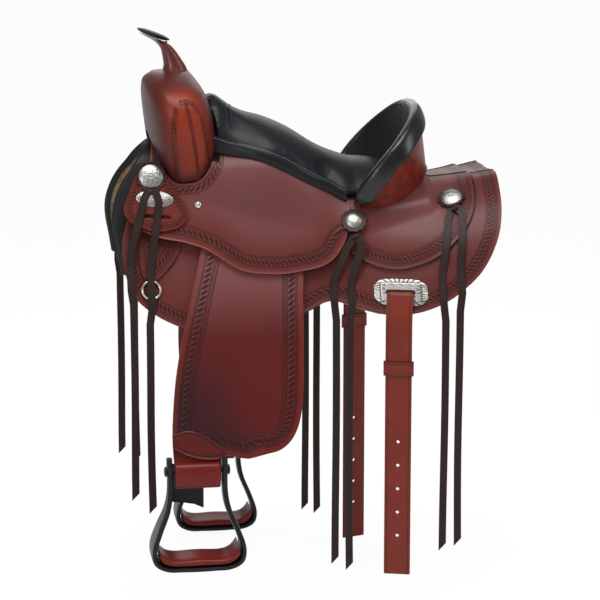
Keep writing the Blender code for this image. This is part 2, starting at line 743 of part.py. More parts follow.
def roll_rings(radius, count, sides):
    """Sections of the roll that runs along the cantle's rim."""
    centres = []
    for k in range(count):
        u = 2 * k / (count - 1) - 1
        centres.append(cantle_point(u, 1.0, ROLL_DEPTH))
    rings = []
    for k, centre in enumerate(centres):
        tangent = (centres[min(k + 1, count - 1)] - centres[max(k - 1, 0)]).normalized()
        inward = (Vector((0.060, 0.0, centre.z)) - centre).normalized()
        up = tangent.cross(inward).normalized()
        inward = up.cross(tangent)
        taper = 0.55 if k in (0, count - 1) else 1.0
        rings.append([centre + (inward * math.cos(a) * ROLL_HALF_WIDTH + up * math.sin(a) * radius) * taper
                      for a in (2 * math.pi * c / sides for c in range(sides))])
    return rings


def make_seat():
    """Crowned cushion on the jockeys, cut back from the fork and from the dish."""
    def place(u, v, top):
        x = SEAT_FRONT + (SEAT_REAR - SEAT_FRONT) * u
        share = 2 * v - 1
        s = share * interpolate(SEAT_HALF_WIDTHS, x)
        t = seat_floor(x, s) + LAYER_GAP
        if top:
            crown = interpolate(SEAT_CROWNS, x) - SEAT_EDGE
            t += SEAT_EDGE + crown * (1 - abs(share) ** 2.4) ** 0.8
        return flank(x, s, t)
    seat = sheet("seat_cushion", place, 26, 16, black_leather())
    cut(seat, fork_envelope("seat_fork_cutter", FOOT_GAP))

    def dish_place(u, v, front):
        u = 1.04 * (2 * u - 1)
        limit = max(min(u, 1.0), -1.0)
        v = 1.16 * v - 0.16
        depth = dish_depth(CURVED_GAP)(limit, v) if front else -0.010
        point = cantle_point(limit, v * under_roll(limit), depth)
        point.x -= abs(u - limit) * 0.25
        point.y += (u - limit) * 0.10
        return point
    cut(seat, cutter_sheet("seat_dish_cutter", dish_place, 24, 6))


# Breast plate, rigging and fittings.
def slot_cutter(name, matrix, origin, length, height, depth):
    """Slot with round ends, its length along local X."""
    bm = bmesh.new()
    middle = Matrix.Translation(origin) @ matrix
    points = []
    for k in range(12):
        angle = -math.pi / 2 + math.pi * (k % 6) / 5
        sign = 1 if k < 6 else -1
        x = sign * ((length - height) / 2 + height / 2 * math.cos(angle))
        points.append(Vector((x, sign * height / 2 * math.sin(angle), -depth / 2)))
    slab(bm, points, Vector((0, 0, depth)))
    bmesh.ops.transform(bm, matrix=middle, verts=bm.verts[:])
    return cutter(name, bm)


def make_breast_plate(side):
    name = "breast_plate_" + side_name(side)
    plate = flank_panel(name, side, BREAST_PLATE_LEFT_EDGE, BREAST_PLATE_RIGHT_EDGE, BREAST_PLATE_BASE,
                        BREAST_PLATE_THICKNESS, 10, 4, bright_leather())
    x, s, length, height = BREAST_SLOT
    matrix, origin = flank_frame(x, side * s, BREAST_PLATE_BASE)
    cut(plate, slot_cutter(name + "_slot_cutter", matrix, origin, length, height, 0.030))


def make_breast_concho(side):
    x, s = BREAST_CONCHO
    matrix, origin = flank_frame(x, side * s, BREAST_PLATE_TOP + TOUCH)
    half_x, half_y = BREAST_CONCHO_SIZE
    shape = Matrix.Diagonal((1.0, half_y / half_x, 1.0, 1.0))
    high = BREAST_CONCHO_HEIGHT
    profile = [(0.0, 0.0), (half_x, 0.0), (half_x, high * 0.4), (half_x * 0.8, high * 0.8), (0.0, high)]
    bm = bmesh.new()
    turned(bm, profile, 20, Matrix.Translation(origin) @ matrix @ shape)
    finish("breast_concho_" + side_name(side), bm, silver())


def make_concho(place, side, x, s, top):
    """Domed silver concho on its scalloped leather rosette."""
    matrix, origin = flank_frame(x, side * s, top + TOUCH)
    outer, r, base, h = ROSETTE_RADIUS, CONCHO_RADIUS, ROSETTE_THICKNESS, CONCHO_HEIGHT
    profile = [(0.0, 0.0), (outer, 0.0), (outer, base), (r, base), (r, base + h * 0.30),
               (r * 0.80, base + h * 0.45), (r * 0.45, base + h * 0.85), (0.0, base + h)]
    bm = bmesh.new()
    turned(bm, profile, 2 * ROSETTE_SCALLOPS, Matrix.Identity(4))
    for vertex in bm.verts:
        flat = Vector((vertex.co.x, vertex.co.y))
        if flat.length > outer - 0.0001:
            turn = round(math.atan2(flat.y, flat.x) / (math.pi / ROSETTE_SCALLOPS))
            if turn % 2:
                flat *= 1 - ROSETTE_SCALLOP_DEPTH / outer
                vertex.co.x, vertex.co.y = flat
    bmesh.ops.transform(bm, matrix=Matrix.Translation(origin) @ matrix, verts=bm.verts[:])
    finish(place + "_concho_" + side_name(side), bm, silver())


def make_conchos(side):
    make_concho("front", side, *FRONT_CONCHO, BREAST_PLATE_TOP)
    make_concho("seat", side, *SEAT_CONCHO, ON_JOCKEY)
    make_concho("rear", side, *REAR_CONCHO, rear_jockey_base(*REAR_CONCHO) + JOCKEY_THICKNESS + 0.0022)


def make_fork_screw(side):
    x, s = SCREW_PLACE
    matrix, origin = flank_frame(x, side * s, seat_jockey_base(x, s) + JOCKEY_THICKNESS + FOOT_GAP)
    r = SCREW_RADIUS
    profile = [(0.0, 0.0), (r, 0.0), (r, 0.0008), (r * 0.62, 0.0010), (r * 0.55, 0.0022), (0.0, 0.0028)]
    bm = bmesh.new()
    turned(bm, profile, 14, Matrix.Translation(origin) @ matrix)
    finish("fork_screw_" + side_name(side), bm, silver())


def make_rigging(side):
    name = side_name(side)
    leather = flank_panel("rigging_leather_" + name, side, RIGGING_LEFT_EDGE, RIGGING_RIGHT_EDGE,
                          ON_SKIRT, RIGGING_THICKNESS, 8, 4, brown_leather())
    x, s = RIGGING_RING
    matrix, origin = flank_frame(x, side * s, ON_SKIRT + RIGGING_RING_WIRE)
    frame = Matrix.Translation(origin) @ matrix
    bm = bmesh.new()
    ring_mesh(bm, RIGGING_RING_RADIUS, RIGGING_RING_WIRE + RING_ROOM, 24, 8, frame)
    cut(leather, cutter("rigging_ring_cutter_" + name, bm))
    bm = bmesh.new()
    ring_mesh(bm, RIGGING_RING_RADIUS, RIGGING_RING_WIRE, 18, 6, frame)
    ring = finish("rigging_ring_" + name, bm, silver())
    hang(ring, pivot("rigging_ring_axis_" + name, origin))


# Rear cinch plate, billet and keeper.
def make_cinch_plate(side):
    """Rounded oblong plate, level, with the slot that the billet hangs from."""
    x0, s0 = CINCH_PLATE
    length, height = CINCH_PLATE_SIZE
    frame, origin = level_frame(side)
    drift = (flank(x0 + 0.01, side * s0, 0).z - flank(x0, side * s0, 0).z) / 0.01 / math.sin(FLANK_ANGLE)

    def place(u, v, top):
        across = 2 * u - 1
        narrowing = 1 - 0.55 * abs(across) ** 5
        x = x0 + across * length / 2
        s = s0 + (v - 0.5) * height * narrowing + drift * (x - x0)
        return flank(x, side * s, CINCH_PLATE_BASE + (CINCH_PLATE_THICKNESS if top else 0.0))
    plate = sheet("cinch_plate_" + side_name(side), place, 12, 3, silver())
    cut(plate, slot_cutter("cinch_slot_cutter_" + side_name(side), frame, origin, *CINCH_SLOT, 0.010))


def level_frame(side):
    """Matrix at the slot: local X level along it, local Z the surface's normal."""
    matrix, origin = flank_frame(CINCH_PLATE[0], side * CINCH_PLATE[1], CINCH_PLATE_BASE)
    normal = matrix.col[2].xyz
    rear = Vector((0, 0, 1)).cross(normal).normalized()
    if rear.x < 0:
        rear = -rear
    return Matrix((rear, normal.cross(rear), normal)).transposed().to_4x4(), origin


def billet_frame(side):
    """Upright frame at the slot: local X along the slot, local Y outward, and the normal's slope."""
    matrix, origin = level_frame(side)
    rear, normal = matrix.col[0].xyz, matrix.col[2].xyz
    out = (Vector((0, 0, 1)).cross(rear) * side).normalized()
    if out.y * side < 0:
        out = -out
    return rear, out, math.atan2(normal.z, normal.dot(out)), origin


def billet_line(side):
    """Local (out, up) points: up through the slot, over the plate's edge, then plumb."""
    _, _, slope, origin = billet_frame(side)
    out = Vector((math.cos(slope), math.sin(slope)))
    down = Vector((math.sin(slope), -math.cos(slope)))
    over = CINCH_PLATE_THICKNESS + BILLET_THICKNESS / 2 + BILLET_LIFT
    points = [out * 0.0016, out * (CINCH_PLATE_THICKNESS * 0.8) + down * 0.0004, out * (over - 0.0012) + down * 0.0035,
              out * over + down * 0.009, out * over + down * 0.034]
    for share in (0.33, 0.67, 1.0):
        step = down.lerp(Vector((0, -1)), share).normalized()
        points.append(points[-1] + step * BILLET_BEND)
    end = NEAR_BILLET_END if side < 0 else FAR_BILLET_END
    points.append(Vector((points[-1].x, end - origin.z)))
    return points


def make_billet(side):
    """Strap with punched holes that hangs from the slot, and the keeper that slides on it."""
    name = side_name(side)
    rear, out, _, origin = billet_frame(side)
    frame = Matrix((rear, out, Vector((0, 0, 1)))).transposed().to_4x4()
    place = Matrix.Translation(origin) @ frame
    line = billet_line(side)
    rings = []
    for k, point in enumerate(line):
        tangent = (line[min(k + 1, len(line) - 1)] - line[max(k - 1, 0)]).normalized()
        thick = BILLET_ROOT_THICKNESS if k < 2 else BILLET_THICKNESS
        normal = Vector((tangent.y, -tangent.x)) * thick / 2
        half = BILLET_WIDTH / 2
        rings.append([place @ Vector((x, point.x + sign * normal.x, point.y + sign * normal.y))
                      for x, sign in ((-half, -1), (half, -1), (half, 1), (-half, 1))])
    billet = loft("billet_" + name, rings, bright_leather())
    tail = line[-1]
    bm = bmesh.new()
    for k in range(BILLET_HOLES):
        hole = Matrix.Translation((0, tail.x, tail.y + BILLET_LAST_HOLE + k * BILLET_HOLE_SPACING))
        cylinder_mesh(bm, BILLET_HOLE_RADIUS, BILLET_THICKNESS * 4, 10,
                      place @ hole @ Matrix.Rotation(math.pi / 2, 4, "X"))
    cut(billet, cutter("billet_hole_cutter_" + name, bm))
    hang(billet, pivot("billet_axis_" + name, place @ Vector((0, line[0].x, line[0].y))))
    middle = place @ Matrix.Translation((0, tail.x, line[-2].y - KEEPER_DROP))
    bm = bmesh.new()
    box_mesh(bm, (BILLET_WIDTH + 2 * (KEEPER_WALL + KEEPER_CLEARANCE),
                  BILLET_THICKNESS + 2 * (KEEPER_WALL + KEEPER_CLEARANCE), KEEPER_HEIGHT), middle)
    bmesh.ops.bevel(bm, geom=bm.edges[:], offset=0.0012, affect="EDGES", segments=1, profile=0.5, material=-1)
    keeper = finish("billet_keeper_" + name, bm, bright_leather())
    bm = bmesh.new()
    box_mesh(bm, (BILLET_WIDTH + 2 * KEEPER_CLEARANCE, BILLET_THICKNESS + 2 * KEEPER_CLEARANCE,
                  KEEPER_HEIGHT * 2), middle)
    cut(keeper, cutter("keeper_cutter_" + name, bm))
    hang(keeper, pivot("keeper_axis_" + name, middle.to_translation()))


# Fender, stirrup leather and stirrup.
def plane_frame(side, x, d, t):
    """Matrix on the fender's plane: local X to the rear, local Z out."""
    origin = fender_plane(side, x, d, t)
    rear = (fender_plane(side, x + 0.01, d, t) - origin).normalized()
    down = (fender_plane(side, x, d + 0.01, t) - origin).normalized()
    out = (fender_plane(side, x, d, t + 0.01) - origin).normalized()
    return Matrix((rear, down, out)).transposed().to_4x4(), origin


def make_hanging_ring(side, axis):
    """Steel ring of the fender; returns the tool that clears room for it."""
    name = side_name(side)
    matrix, origin = plane_frame(side, RING_X, 0.0, (ON_SKIRT + JOCKEY_BASE) / 2 - TOUCH)
    frame = Matrix.Translation(origin) @ matrix
    bm = bmesh.new()
    ring_mesh(bm, RING_RADIUS, RING_WIRE, 16, 6, frame)
    hang(finish("stirrup_ring_" + name, bm, steel()), axis)
    bm = bmesh.new()
    ring_mesh(bm, RING_RADIUS, RING_WIRE + RING_ROOM, 24, 8, frame)
    return cutter("ring_cutter_" + name, bm)


def leather_points(points, side):
    """Stirrup leather's edge; the far one is let down."""
    drop = FAR_LET_DOWN if side > 0 else 0.0
    last = points[-1]
    return points + [(last[0], BOLT_DROP + drop)]


def make_fender(side, axis, ring_tool):
    name = side_name(side)
    fender = fender_panel("fender_" + name, side, FENDER_FRONT_EDGE, FENDER_REAR_EDGE, FENDER_BASE,
                          FENDER_THICKNESS, 18, 6, red_leather())
    hang(fender, axis)
    cut(fender, ring_tool)
    strap = fender_panel("stirrup_leather_" + name, side, leather_points(LEATHER_FRONT_EDGE, side),
                         leather_points(LEATHER_REAR_EDGE, side), ON_SKIRT, STIRRUP_LEATHER_THICKNESS,
                         12, 2, bright_leather())
    hang(strap, axis)
    cut(strap, ring_tool)
    centre = bolt_centre(side)
    along_x = Matrix.Translation(centre) @ Matrix.Rotation(math.pi / 2, 4, "Y")
    width = LEATHER_REAR_EDGE[-1][0] - LEATHER_FRONT_EDGE[-1][0]
    bm = bmesh.new()
    cylinder_mesh(bm, BOLT_LOOP_RADIUS, width, 20, along_x)
    loop = cutter("bolt_loop_cutter_" + name, bm)
    cut(strap, loop, "UNION")
    bm = bmesh.new()
    cylinder_mesh(bm, BOLT_RADIUS + BOLT_CLEARANCE, width * 2, 16, along_x)
    cut(strap, cutter("bolt_bore_cutter_" + name, bm))
    make_hobble(side, centre, axis)


def bolt_centre(side):
    drop = FAR_LET_DOWN if side > 0 else 0.0
    return fender_plane(side, BOLT_X, BOLT_DROP + drop, ON_SKIRT + STIRRUP_LEATHER_THICKNESS / 2)


def make_hobble(side, centre, axis):
    """Flap behind the bolt loop, with a slanted lower edge."""
    inner_y = centre.y - side * (BOLT_LOOP_RADIUS + TOUCH)
    bm = bmesh.new()
    left, right = -HOBBLE_WIDTH / 2 - 0.006, HOBBLE_WIDTH / 2 - 0.006
    outline = [(left, 0.008), (right, 0.008), (right, -HOBBLE_LENGTH), (right - 0.016, -HOBBLE_LENGTH + 0.007),
               (left + 0.015, -HOBBLE_LENGTH + 0.011), (left, -HOBBLE_LENGTH + 0.012)]
    points = [Vector((centre.x + x, inner_y, centre.z + z)) for x, z in outline]
    slab(bm, points, Vector((0, -side * HOBBLE_THICKNESS, 0)))
    hang(finish("hobble_" + side_name(side), bm, black_leather()), axis)


def stirrup_section(point, tangent, depth, wall):
    """Rounded rectangular section of the stirrup's side."""
    across = Vector((tangent.z, 0, -tangent.x)).normalized()
    half_wall = wall / 2
    half_depth = depth / 2
    corners = [(-1, -0.8), (-0.55, -1), (0.55, -1), (1, -0.8), (1, 0.8), (0.55, 1), (-0.55, 1), (-1, 0.8)]
    return [point + across * (a * half_wall) + Vector((0, b * half_depth, 0)) for a, b in corners]


def make_stirrup(side):
    name = side_name(side)
    centre = bolt_centre(side)
    axis = pivot("stirrup_axis_" + name, centre)
    half = [Vector((x, 0, z)) for x, z in STIRRUP_LINE]
    line = [Vector((-p.x, 0, p.z)) for p in half] + half[-2::-1]
    count = 34
    rings = []
    for k in range(count):
        u = k / (count - 1)
        point = along(line, u)
        tangent = (along(line, min(u + 0.01, 1)) - along(line, max(u - 0.01, 0))).normalized()
        deep = ease((-point.z - 0.02) / 0.10)
        depth = STIRRUP_NECK_DEPTH + (STIRRUP_TREAD_DEPTH - STIRRUP_NECK_DEPTH) * deep
        rings.append([centre + p for p in stirrup_section(point, tangent, depth, STIRRUP_WALL)])
    frame = loft("stirrup_" + name, rings, black_leather())
    hang(frame, axis)
    ear = STIRRUP_LINE[0][0]
    length = 2 * (ear + STIRRUP_WALL / 2)
    along_x = Matrix.Translation(centre) @ Matrix.Rotation(math.pi / 2, 4, "Y")
    bm = bmesh.new()
    cylinder_mesh(bm, BOLT_RADIUS + TOUCH, length * 1.5, 16, along_x)
    cut(frame, cutter("stirrup_bore_cutter_" + name, bm))
    bm = bmesh.new()
    turned(bm, [(0.0, -length / 2 - 0.0040), (BOLT_RADIUS * 1.4, -length / 2 - 0.0034),
                (BOLT_RADIUS * 1.7, -length / 2 - 0.0006), (BOLT_RADIUS, -length / 2 - 0.0006),
                (BOLT_RADIUS, length / 2 + 0.0006), (BOLT_RADIUS * 1.7, length / 2 + 0.0006),
                (BOLT_RADIUS * 1.4, length / 2 + 0.0034), (0.0, length / 2 + 0.0040)], 16, along_x)
    hang(finish("stirrup_bolt_" + name, bm, steel()), axis)
    make_tread(name, centre, axis)


def make_tread(name, centre, axis):
    """Padded leather tread that lies in the stirrup's bottom."""
    floor = STIRRUP_LINE[-1][1] + STIRRUP_WALL / 2 + TOUCH
    rings = []
    count = 13
    for k in range(count):
        share = 2 * k / (count - 1) - 1
        x = share * TREAD_LENGTH / 2
        rise = 0.0026 * abs(share) ** 2 + 0.0075 * abs(share) ** 6
        top = floor + TREAD_HEIGHT + TREAD_EAR * abs(share) ** 4
        low = floor + rise
        half = STIRRUP_TREAD_DEPTH / 2 - 0.001
        section = [(-half, low), (half, low), (half + 0.002, (low + top) / 2), (half - 0.005, top),
                   (-half + 0.005, top), (-half - 0.002, (low + top) / 2)]
        rings.append([centre + Vector((x, y, z)) for y, z in section])
    hang(loft("tread_" + name, rings, bright_leather()), axis)


# Tie strings: each is one thong, doubled under its rosette, with two ends that hang plumb.
def string_stations(start, end, heights):
    """Places down the flank where a string bends, and a few between them."""
    knots = [s for s, _ in heights if start + 0.004 < s < end - 0.004]
    even = [start + (end - start) * share for share in (0.25, 0.5, 0.75)]
    extra = [s for s in even if all(abs(s - knot) > 0.012 for knot in knots)]
    return sorted([start, end] + knots + extra)


def string_path(side, start, ends, heights):
    """Centre line and outward direction: up one end, round the turn, down the other."""
    def on_leather(x, s):
        matrix, origin = flank_frame(x, side * s, level(heights, s) + STRING_THICKNESS / 2 + TOUCH)
        return origin, matrix.col[2].xyz

    turn_s = start[1]
    legs = []
    for k, (x_end, z_end) in enumerate(ends):
        x_start = start[0] + STRING_SPREAD * (2 * k - 1)
        edge_s = level([(x, s) for x, s in SKIRT_EDGE if s > 0.2], x_end) + 0.002
        leg = []
        for s in string_stations(turn_s, edge_s, heights):
            share = (s - turn_s) / (edge_s - turn_s)
            leg.append(on_leather(x_start + (x_end - x_start) * ease(share * 1.5), s))
        last = leg[-1][0]
        for j in range(1, 4):
            point = Vector((x_end, last.y, last.z + (z_end - last.z) * j / 3))
            leg.append((point, Vector((0, side, 0))))
        legs.append(leg)
    turn = [on_leather(start[0] - STRING_SPREAD * math.cos(a), turn_s - STRING_SPREAD * math.sin(a))
            for a in (math.pi * k / 4 for k in range(1, 4))]
    return legs[0][::-1] + turn + legs[1]


def make_string(place, side, start, ends, heights):
    path = string_path(side, start, ends, heights)
    rings = []
    for j, (point, out) in enumerate(path):
        before = path[max(j - 1, 0)][0]
        after = path[min(j + 1, len(path) - 1)][0]
        across = (after - before).cross(out).normalized()
        thick = across.cross(after - before).normalized() * STRING_THICKNESS / 2
        across = across * STRING_WIDTH / 2
        slant = Vector((0, 0, STRING_SLANT / 2)) if j in (0, len(path) - 1) else Vector((0, 0, 0))
        if j == 0:
            slant = -slant
        slant *= side
        rings.append([point - across - thick - slant, point + across - thick + slant,
                      point + across + thick + slant, point - across + thick - slant])
    loft(place + "_string_" + side_name(side), rings, brown_leather())


def below_rosette(concho):
    return concho[0], concho[1] + ROSETTE_RADIUS + 0.003 + STRING_SPREAD + STRING_WIDTH / 2


def make_strings(side):
    """Heights are the tops of the leather that each string crosses."""
    ring_top = ON_SKIRT + 2 * RIGGING_RING_WIRE + TOUCH
    skirt_top = ON_SKIRT + 2 * TOUCH
    jockey_top = rear_jockey_base(*REAR_CONCHO) + JOCKEY_THICKNESS + LAYER_GAP
    on_plate = BREAST_PLATE_TOP + TOUCH
    on_oval = on_plate + BREAST_CONCHO_HEIGHT + TOUCH
    make_string("front", side, below_rosette(FRONT_CONCHO), FRONT_STRING_ENDS,
                [(0.100, on_oval), (0.144, on_oval), (0.160, on_plate), (0.188, on_plate), (0.206, ON_JOCKEY),
                 (0.226, ring_top), (0.305, ring_top), (0.320, skirt_top)])
    make_string("seat", side, below_rosette(SEAT_CONCHO), SEAT_STRING_ENDS,
                [(0.120, ON_JOCKEY), (0.184, ON_JOCKEY), (0.212, skirt_top)])
    make_string("rear", side, below_rosette(REAR_CONCHO), REAR_STRING_ENDS,
                [(0.100, jockey_top), (0.208, jockey_top), (0.226, skirt_top)])


def main():
    for old in list(bpy.data.objects):
        bpy.data.objects.remove(old)
    make_base_pad()
    make_fleece()
    strap = make_hanger_strap()
    make_horn(make_fork())
    make_seat()
    make_cantle()
    for side in (-1, 1):
        make_skirt(side)
        make_seat_jockey(side)
        make_rear_jockey(side)
        make_breast_plate(side)
        make_breast_concho(side)
        make_conchos(side)
        make_fork_screw(side)
        make_rigging(side)
        make_cinch_plate(side)
        make_billet(side)
        axis = pivot("fender_axis_" + side_name(side), fender_plane(side, RING_X, 0.0, FENDER_BASE))
        ring_tool = make_hanging_ring(side, axis)
        cut(strap, ring_tool)
        make_fender(side, axis, ring_tool)
        make_stirrup(side)
        make_strings(side)


main()
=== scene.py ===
# %% [markdown]
# # A western saddle on its flexible base
# The saddle is seen from its near (left) side, a little from the front and from above.
# Every leather panel follows one surface, the flank of the horse, so that surface is written down first.
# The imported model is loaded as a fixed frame, and each finished piece takes the place of its plain solid.

# %% Load the frame
import math
import random

import bmesh
import bpy
import numpy as np
from mathutils import Matrix, Vector, noise


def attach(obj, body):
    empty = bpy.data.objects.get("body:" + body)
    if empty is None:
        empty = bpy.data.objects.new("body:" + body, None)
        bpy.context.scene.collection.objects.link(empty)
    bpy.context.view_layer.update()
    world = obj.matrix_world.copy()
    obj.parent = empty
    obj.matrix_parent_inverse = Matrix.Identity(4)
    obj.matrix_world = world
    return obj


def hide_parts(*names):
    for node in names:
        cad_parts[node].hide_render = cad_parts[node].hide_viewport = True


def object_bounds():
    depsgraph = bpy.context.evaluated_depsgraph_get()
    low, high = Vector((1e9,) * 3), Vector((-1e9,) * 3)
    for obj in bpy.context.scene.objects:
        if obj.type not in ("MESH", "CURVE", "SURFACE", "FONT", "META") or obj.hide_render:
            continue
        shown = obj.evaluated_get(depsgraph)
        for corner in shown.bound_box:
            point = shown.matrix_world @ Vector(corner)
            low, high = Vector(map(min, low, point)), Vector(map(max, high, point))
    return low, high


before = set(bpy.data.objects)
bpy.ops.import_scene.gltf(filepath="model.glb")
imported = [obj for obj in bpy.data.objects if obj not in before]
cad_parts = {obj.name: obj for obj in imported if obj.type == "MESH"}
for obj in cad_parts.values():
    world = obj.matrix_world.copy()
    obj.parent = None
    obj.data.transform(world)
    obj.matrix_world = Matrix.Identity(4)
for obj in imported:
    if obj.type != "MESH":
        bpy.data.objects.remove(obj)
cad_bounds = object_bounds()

random.seed(7)
print("nodes", len(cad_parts))

# %% [markdown]
# ## Camera and light
# The photograph was taken with a long lens from nearly square on, so the saddle shows almost no perspective.
# A big soft lamp above gives glossy leather its pale mauve upper surfaces, and a second one fills the near side.
# The floor is white to the camera only, and it keeps the saddle's shadow.

# %% Camera
AZIMUTH, ELEVATION, DISTANCE = math.radians(-9), math.radians(11), 3.7
AIM = Vector((0.0, 0.0, -0.20))
LENS = 126.86
FOCAL = LENS / 36 * 600

backwards = Vector((math.sin(AZIMUTH) * math.cos(ELEVATION), -math.cos(AZIMUTH) * math.cos(ELEVATION),
                    math.sin(ELEVATION)))
camera_data = bpy.data.cameras.new("camera")
camera_data.lens = LENS
camera_data.clip_end = 200
camera = bpy.data.objects.new("camera", camera_data)
camera.location = AIM + backwards * DISTANCE
camera.rotation_euler = backwards.to_track_quat("Z", "Y").to_euler()
bpy.context.scene.collection.objects.link(camera)
bpy.context.scene.camera = camera
bpy.context.scene.view_settings.view_transform = "Standard"
looking = backwards.to_track_quat("Z", "Y").to_matrix()


def photo_ray(pixel):
    """Direction from the camera through a pixel of the photograph."""
    return looking @ Vector(((pixel[0] - 300) / FOCAL, (300 - pixel[1]) / FOCAL, -1)).normalized()


# %% Lamps, floor and sky
def softbox(name, place, size, power):
    lamp = bpy.data.lights.new(name, "AREA")
    lamp.shape = "RECTANGLE"
    lamp.size, lamp.size_y = size
    lamp.energy = power
    holder = bpy.data.objects.new(name, lamp)
    holder.location = place
    holder.rotation_euler = (Vector(place) - Vector((0, 0, -0.15))).to_track_quat("Z", "Y").to_euler()
    bpy.context.scene.collection.objects.link(holder)


softbox("top_box", (-0.2, -1.0, 2.6), (2.2, 1.4), 58)
softbox("near_box", (-2.2, -2.4, 0.9), (0.9, 1.6), 22)
softbox("rear_box", (2.4, -1.2, 1.2), (0.7, 1.4), 11)
softbox("far_box", (0.4, 2.6, 1.2), (1.8, 1.8), 12)

world = bpy.data.worlds.new("sky")
bpy.context.scene.world = world
world.use_nodes = True
sky = world.node_tree.nodes["Background"]
sky.inputs["Color"].default_value = (1, 1, 1, 1)
sky_path = world.node_tree.nodes.new("ShaderNodeLightPath")
sky_power = world.node_tree.nodes.new("ShaderNodeMapRange")
sky_power.inputs["To Min"].default_value = 0.26
sky_power.inputs["To Max"].default_value = 1.0
world.node_tree.links.new(sky_path.outputs["Is Camera Ray"], sky_power.inputs["Value"])
world.node_tree.links.new(sky_power.outputs["Result"], sky.inputs["Strength"])

bm = bmesh.new()
bmesh.ops.create_grid(bm, x_segments=1, y_segments=1, size=60)
bmesh.ops.translate(bm, verts=bm.verts[:], vec=(0, 0, cad_bounds[0][2] - 0.012))
floor_mesh = bpy.data.meshes.new("floor")
bm.to_mesh(floor_mesh)
bm.free()
floor = bpy.data.objects.new("floor", floor_mesh)
bpy.context.scene.collection.objects.link(floor)


# %% [markdown]
# ## Shader helpers
# Leather is one glossy skin with fine pores, a colour that is never quite even, and marks that follow its edges.
# Each panel stores how far every point lies from its edge ("edge") and how far along that edge it is ("edge_run").
# Shader groups turn those two numbers into tooled borders, stitches and burnished edges, so the marks follow
# the leather wherever it bends.

# %% A small node graph helper
class Graph:
    """Adds nodes to one tree; values may be numbers or sockets."""

    def __init__(self, tree):
        self.tree = tree

    def feed(self, socket, value):
        if isinstance(value, bpy.types.NodeSocket):
            self.tree.links.new(value, socket)
        else:
            socket.default_value = value

    def math(self, operation, *values):
        node = self.tree.nodes.new("ShaderNodeMath")
        node.operation = operation
        for socket, value in zip(node.inputs, values):
            self.feed(socket, value)
        return node.outputs[0]

    def step(self, value, low, high, start=0.0, end=1.0):
        """Smooth step of a value between two limits."""
        node = self.tree.nodes.new("ShaderNodeMapRange")
        node.interpolation_type = "SMOOTHSTEP"
        for socket, number in zip(node.inputs, (value, low, high, start, end)):
            self.feed(socket, number)
        return node.outputs[0]

    def stored(self, name):
        node = self.tree.nodes.new("ShaderNodeAttribute")
        node.attribute_name = name
        return node.outputs["Fac"]

    def noise(self, scale, detail=3.0, roughness=0.55):
        place = self.tree.nodes.new("ShaderNodeTexCoord")
        node = self.tree.nodes.new("ShaderNodeTexNoise")
        self.tree.links.new(place.outputs["Object"], node.inputs["Vector"])
        for key, value in (("Scale", scale), ("Detail", detail), ("Roughness", roughness)):
            self.feed(node.inputs[key], value)
        return node.outputs["Fac"]

    def cells(self, scale):
        place = self.tree.nodes.new("ShaderNodeTexCoord")
        node = self.tree.nodes.new("ShaderNodeTexVoronoi")
        self.tree.links.new(place.outputs["Object"], node.inputs["Vector"])
        self.feed(node.inputs["Scale"], scale)
        return node.outputs["Distance"]

    def mix(self, factor, first, second):
        node = self.tree.nodes.new("ShaderNodeMix")
        node.data_type = "RGBA"
        self.feed(node.inputs[0], factor)
        self.feed(node.inputs[6], first)
        self.feed(node.inputs[7], second)
        return node.outputs[2]

    def group(self, tree, **values):
        node = self.tree.nodes.new("ShaderNodeGroup")
        node.node_tree = tree
        for key, value in values.items():
            self.feed(node.inputs[key], value)
        return node.outputs


def new_group(name, inputs, outputs):
    """Empty shader group with float inputs and outputs; returns its graph and its two end nodes."""
    tree = bpy.data.node_groups.new(name, "ShaderNodeTree")
    for key, value in inputs.items():
        tree.interface.new_socket(key, in_out="INPUT", socket_type="NodeSocketFloat").default_value = value
    for key in outputs:
        tree.interface.new_socket(key, in_out="OUTPUT", socket_type="NodeSocketFloat")
    return Graph(tree), tree.nodes.new("NodeGroupInput").outputs, tree.nodes.new("NodeGroupOutput").inputs


# %% Group: pores and uneven colour
def grain_group():
    g, given, result = new_group("leather_grain", {"Pores": 900.0, "Clouds": 9.0}, ("Height", "Tone"))
    fine = g.noise(given["Pores"], 2.0, 0.6)
    creases = g.math("MULTIPLY", g.cells(g.math("MULTIPLY", given["Pores"], 0.35)), 0.7)
    g.feed(result["Height"], g.math("ADD", fine, creases))
    speckle = g.math("MULTIPLY", g.noise(g.math("MULTIPLY", given["Clouds"], 22.0), 3.0, 0.7), 0.45)
    g.feed(result["Tone"], g.math("ADD", g.math("MULTIPLY", g.noise(given["Clouds"], 4.0, 0.6), 0.55), speckle))
    return g.tree


GRAIN = grain_group()


# %% [markdown]
# ## Tooled borders
# A border is stamped with two fine lines and a row of leaves that lean along the edge, each cut with a curved stroke.
# The stamp presses the leather down and leaves it darker, which is why one mask drives both height and colour.

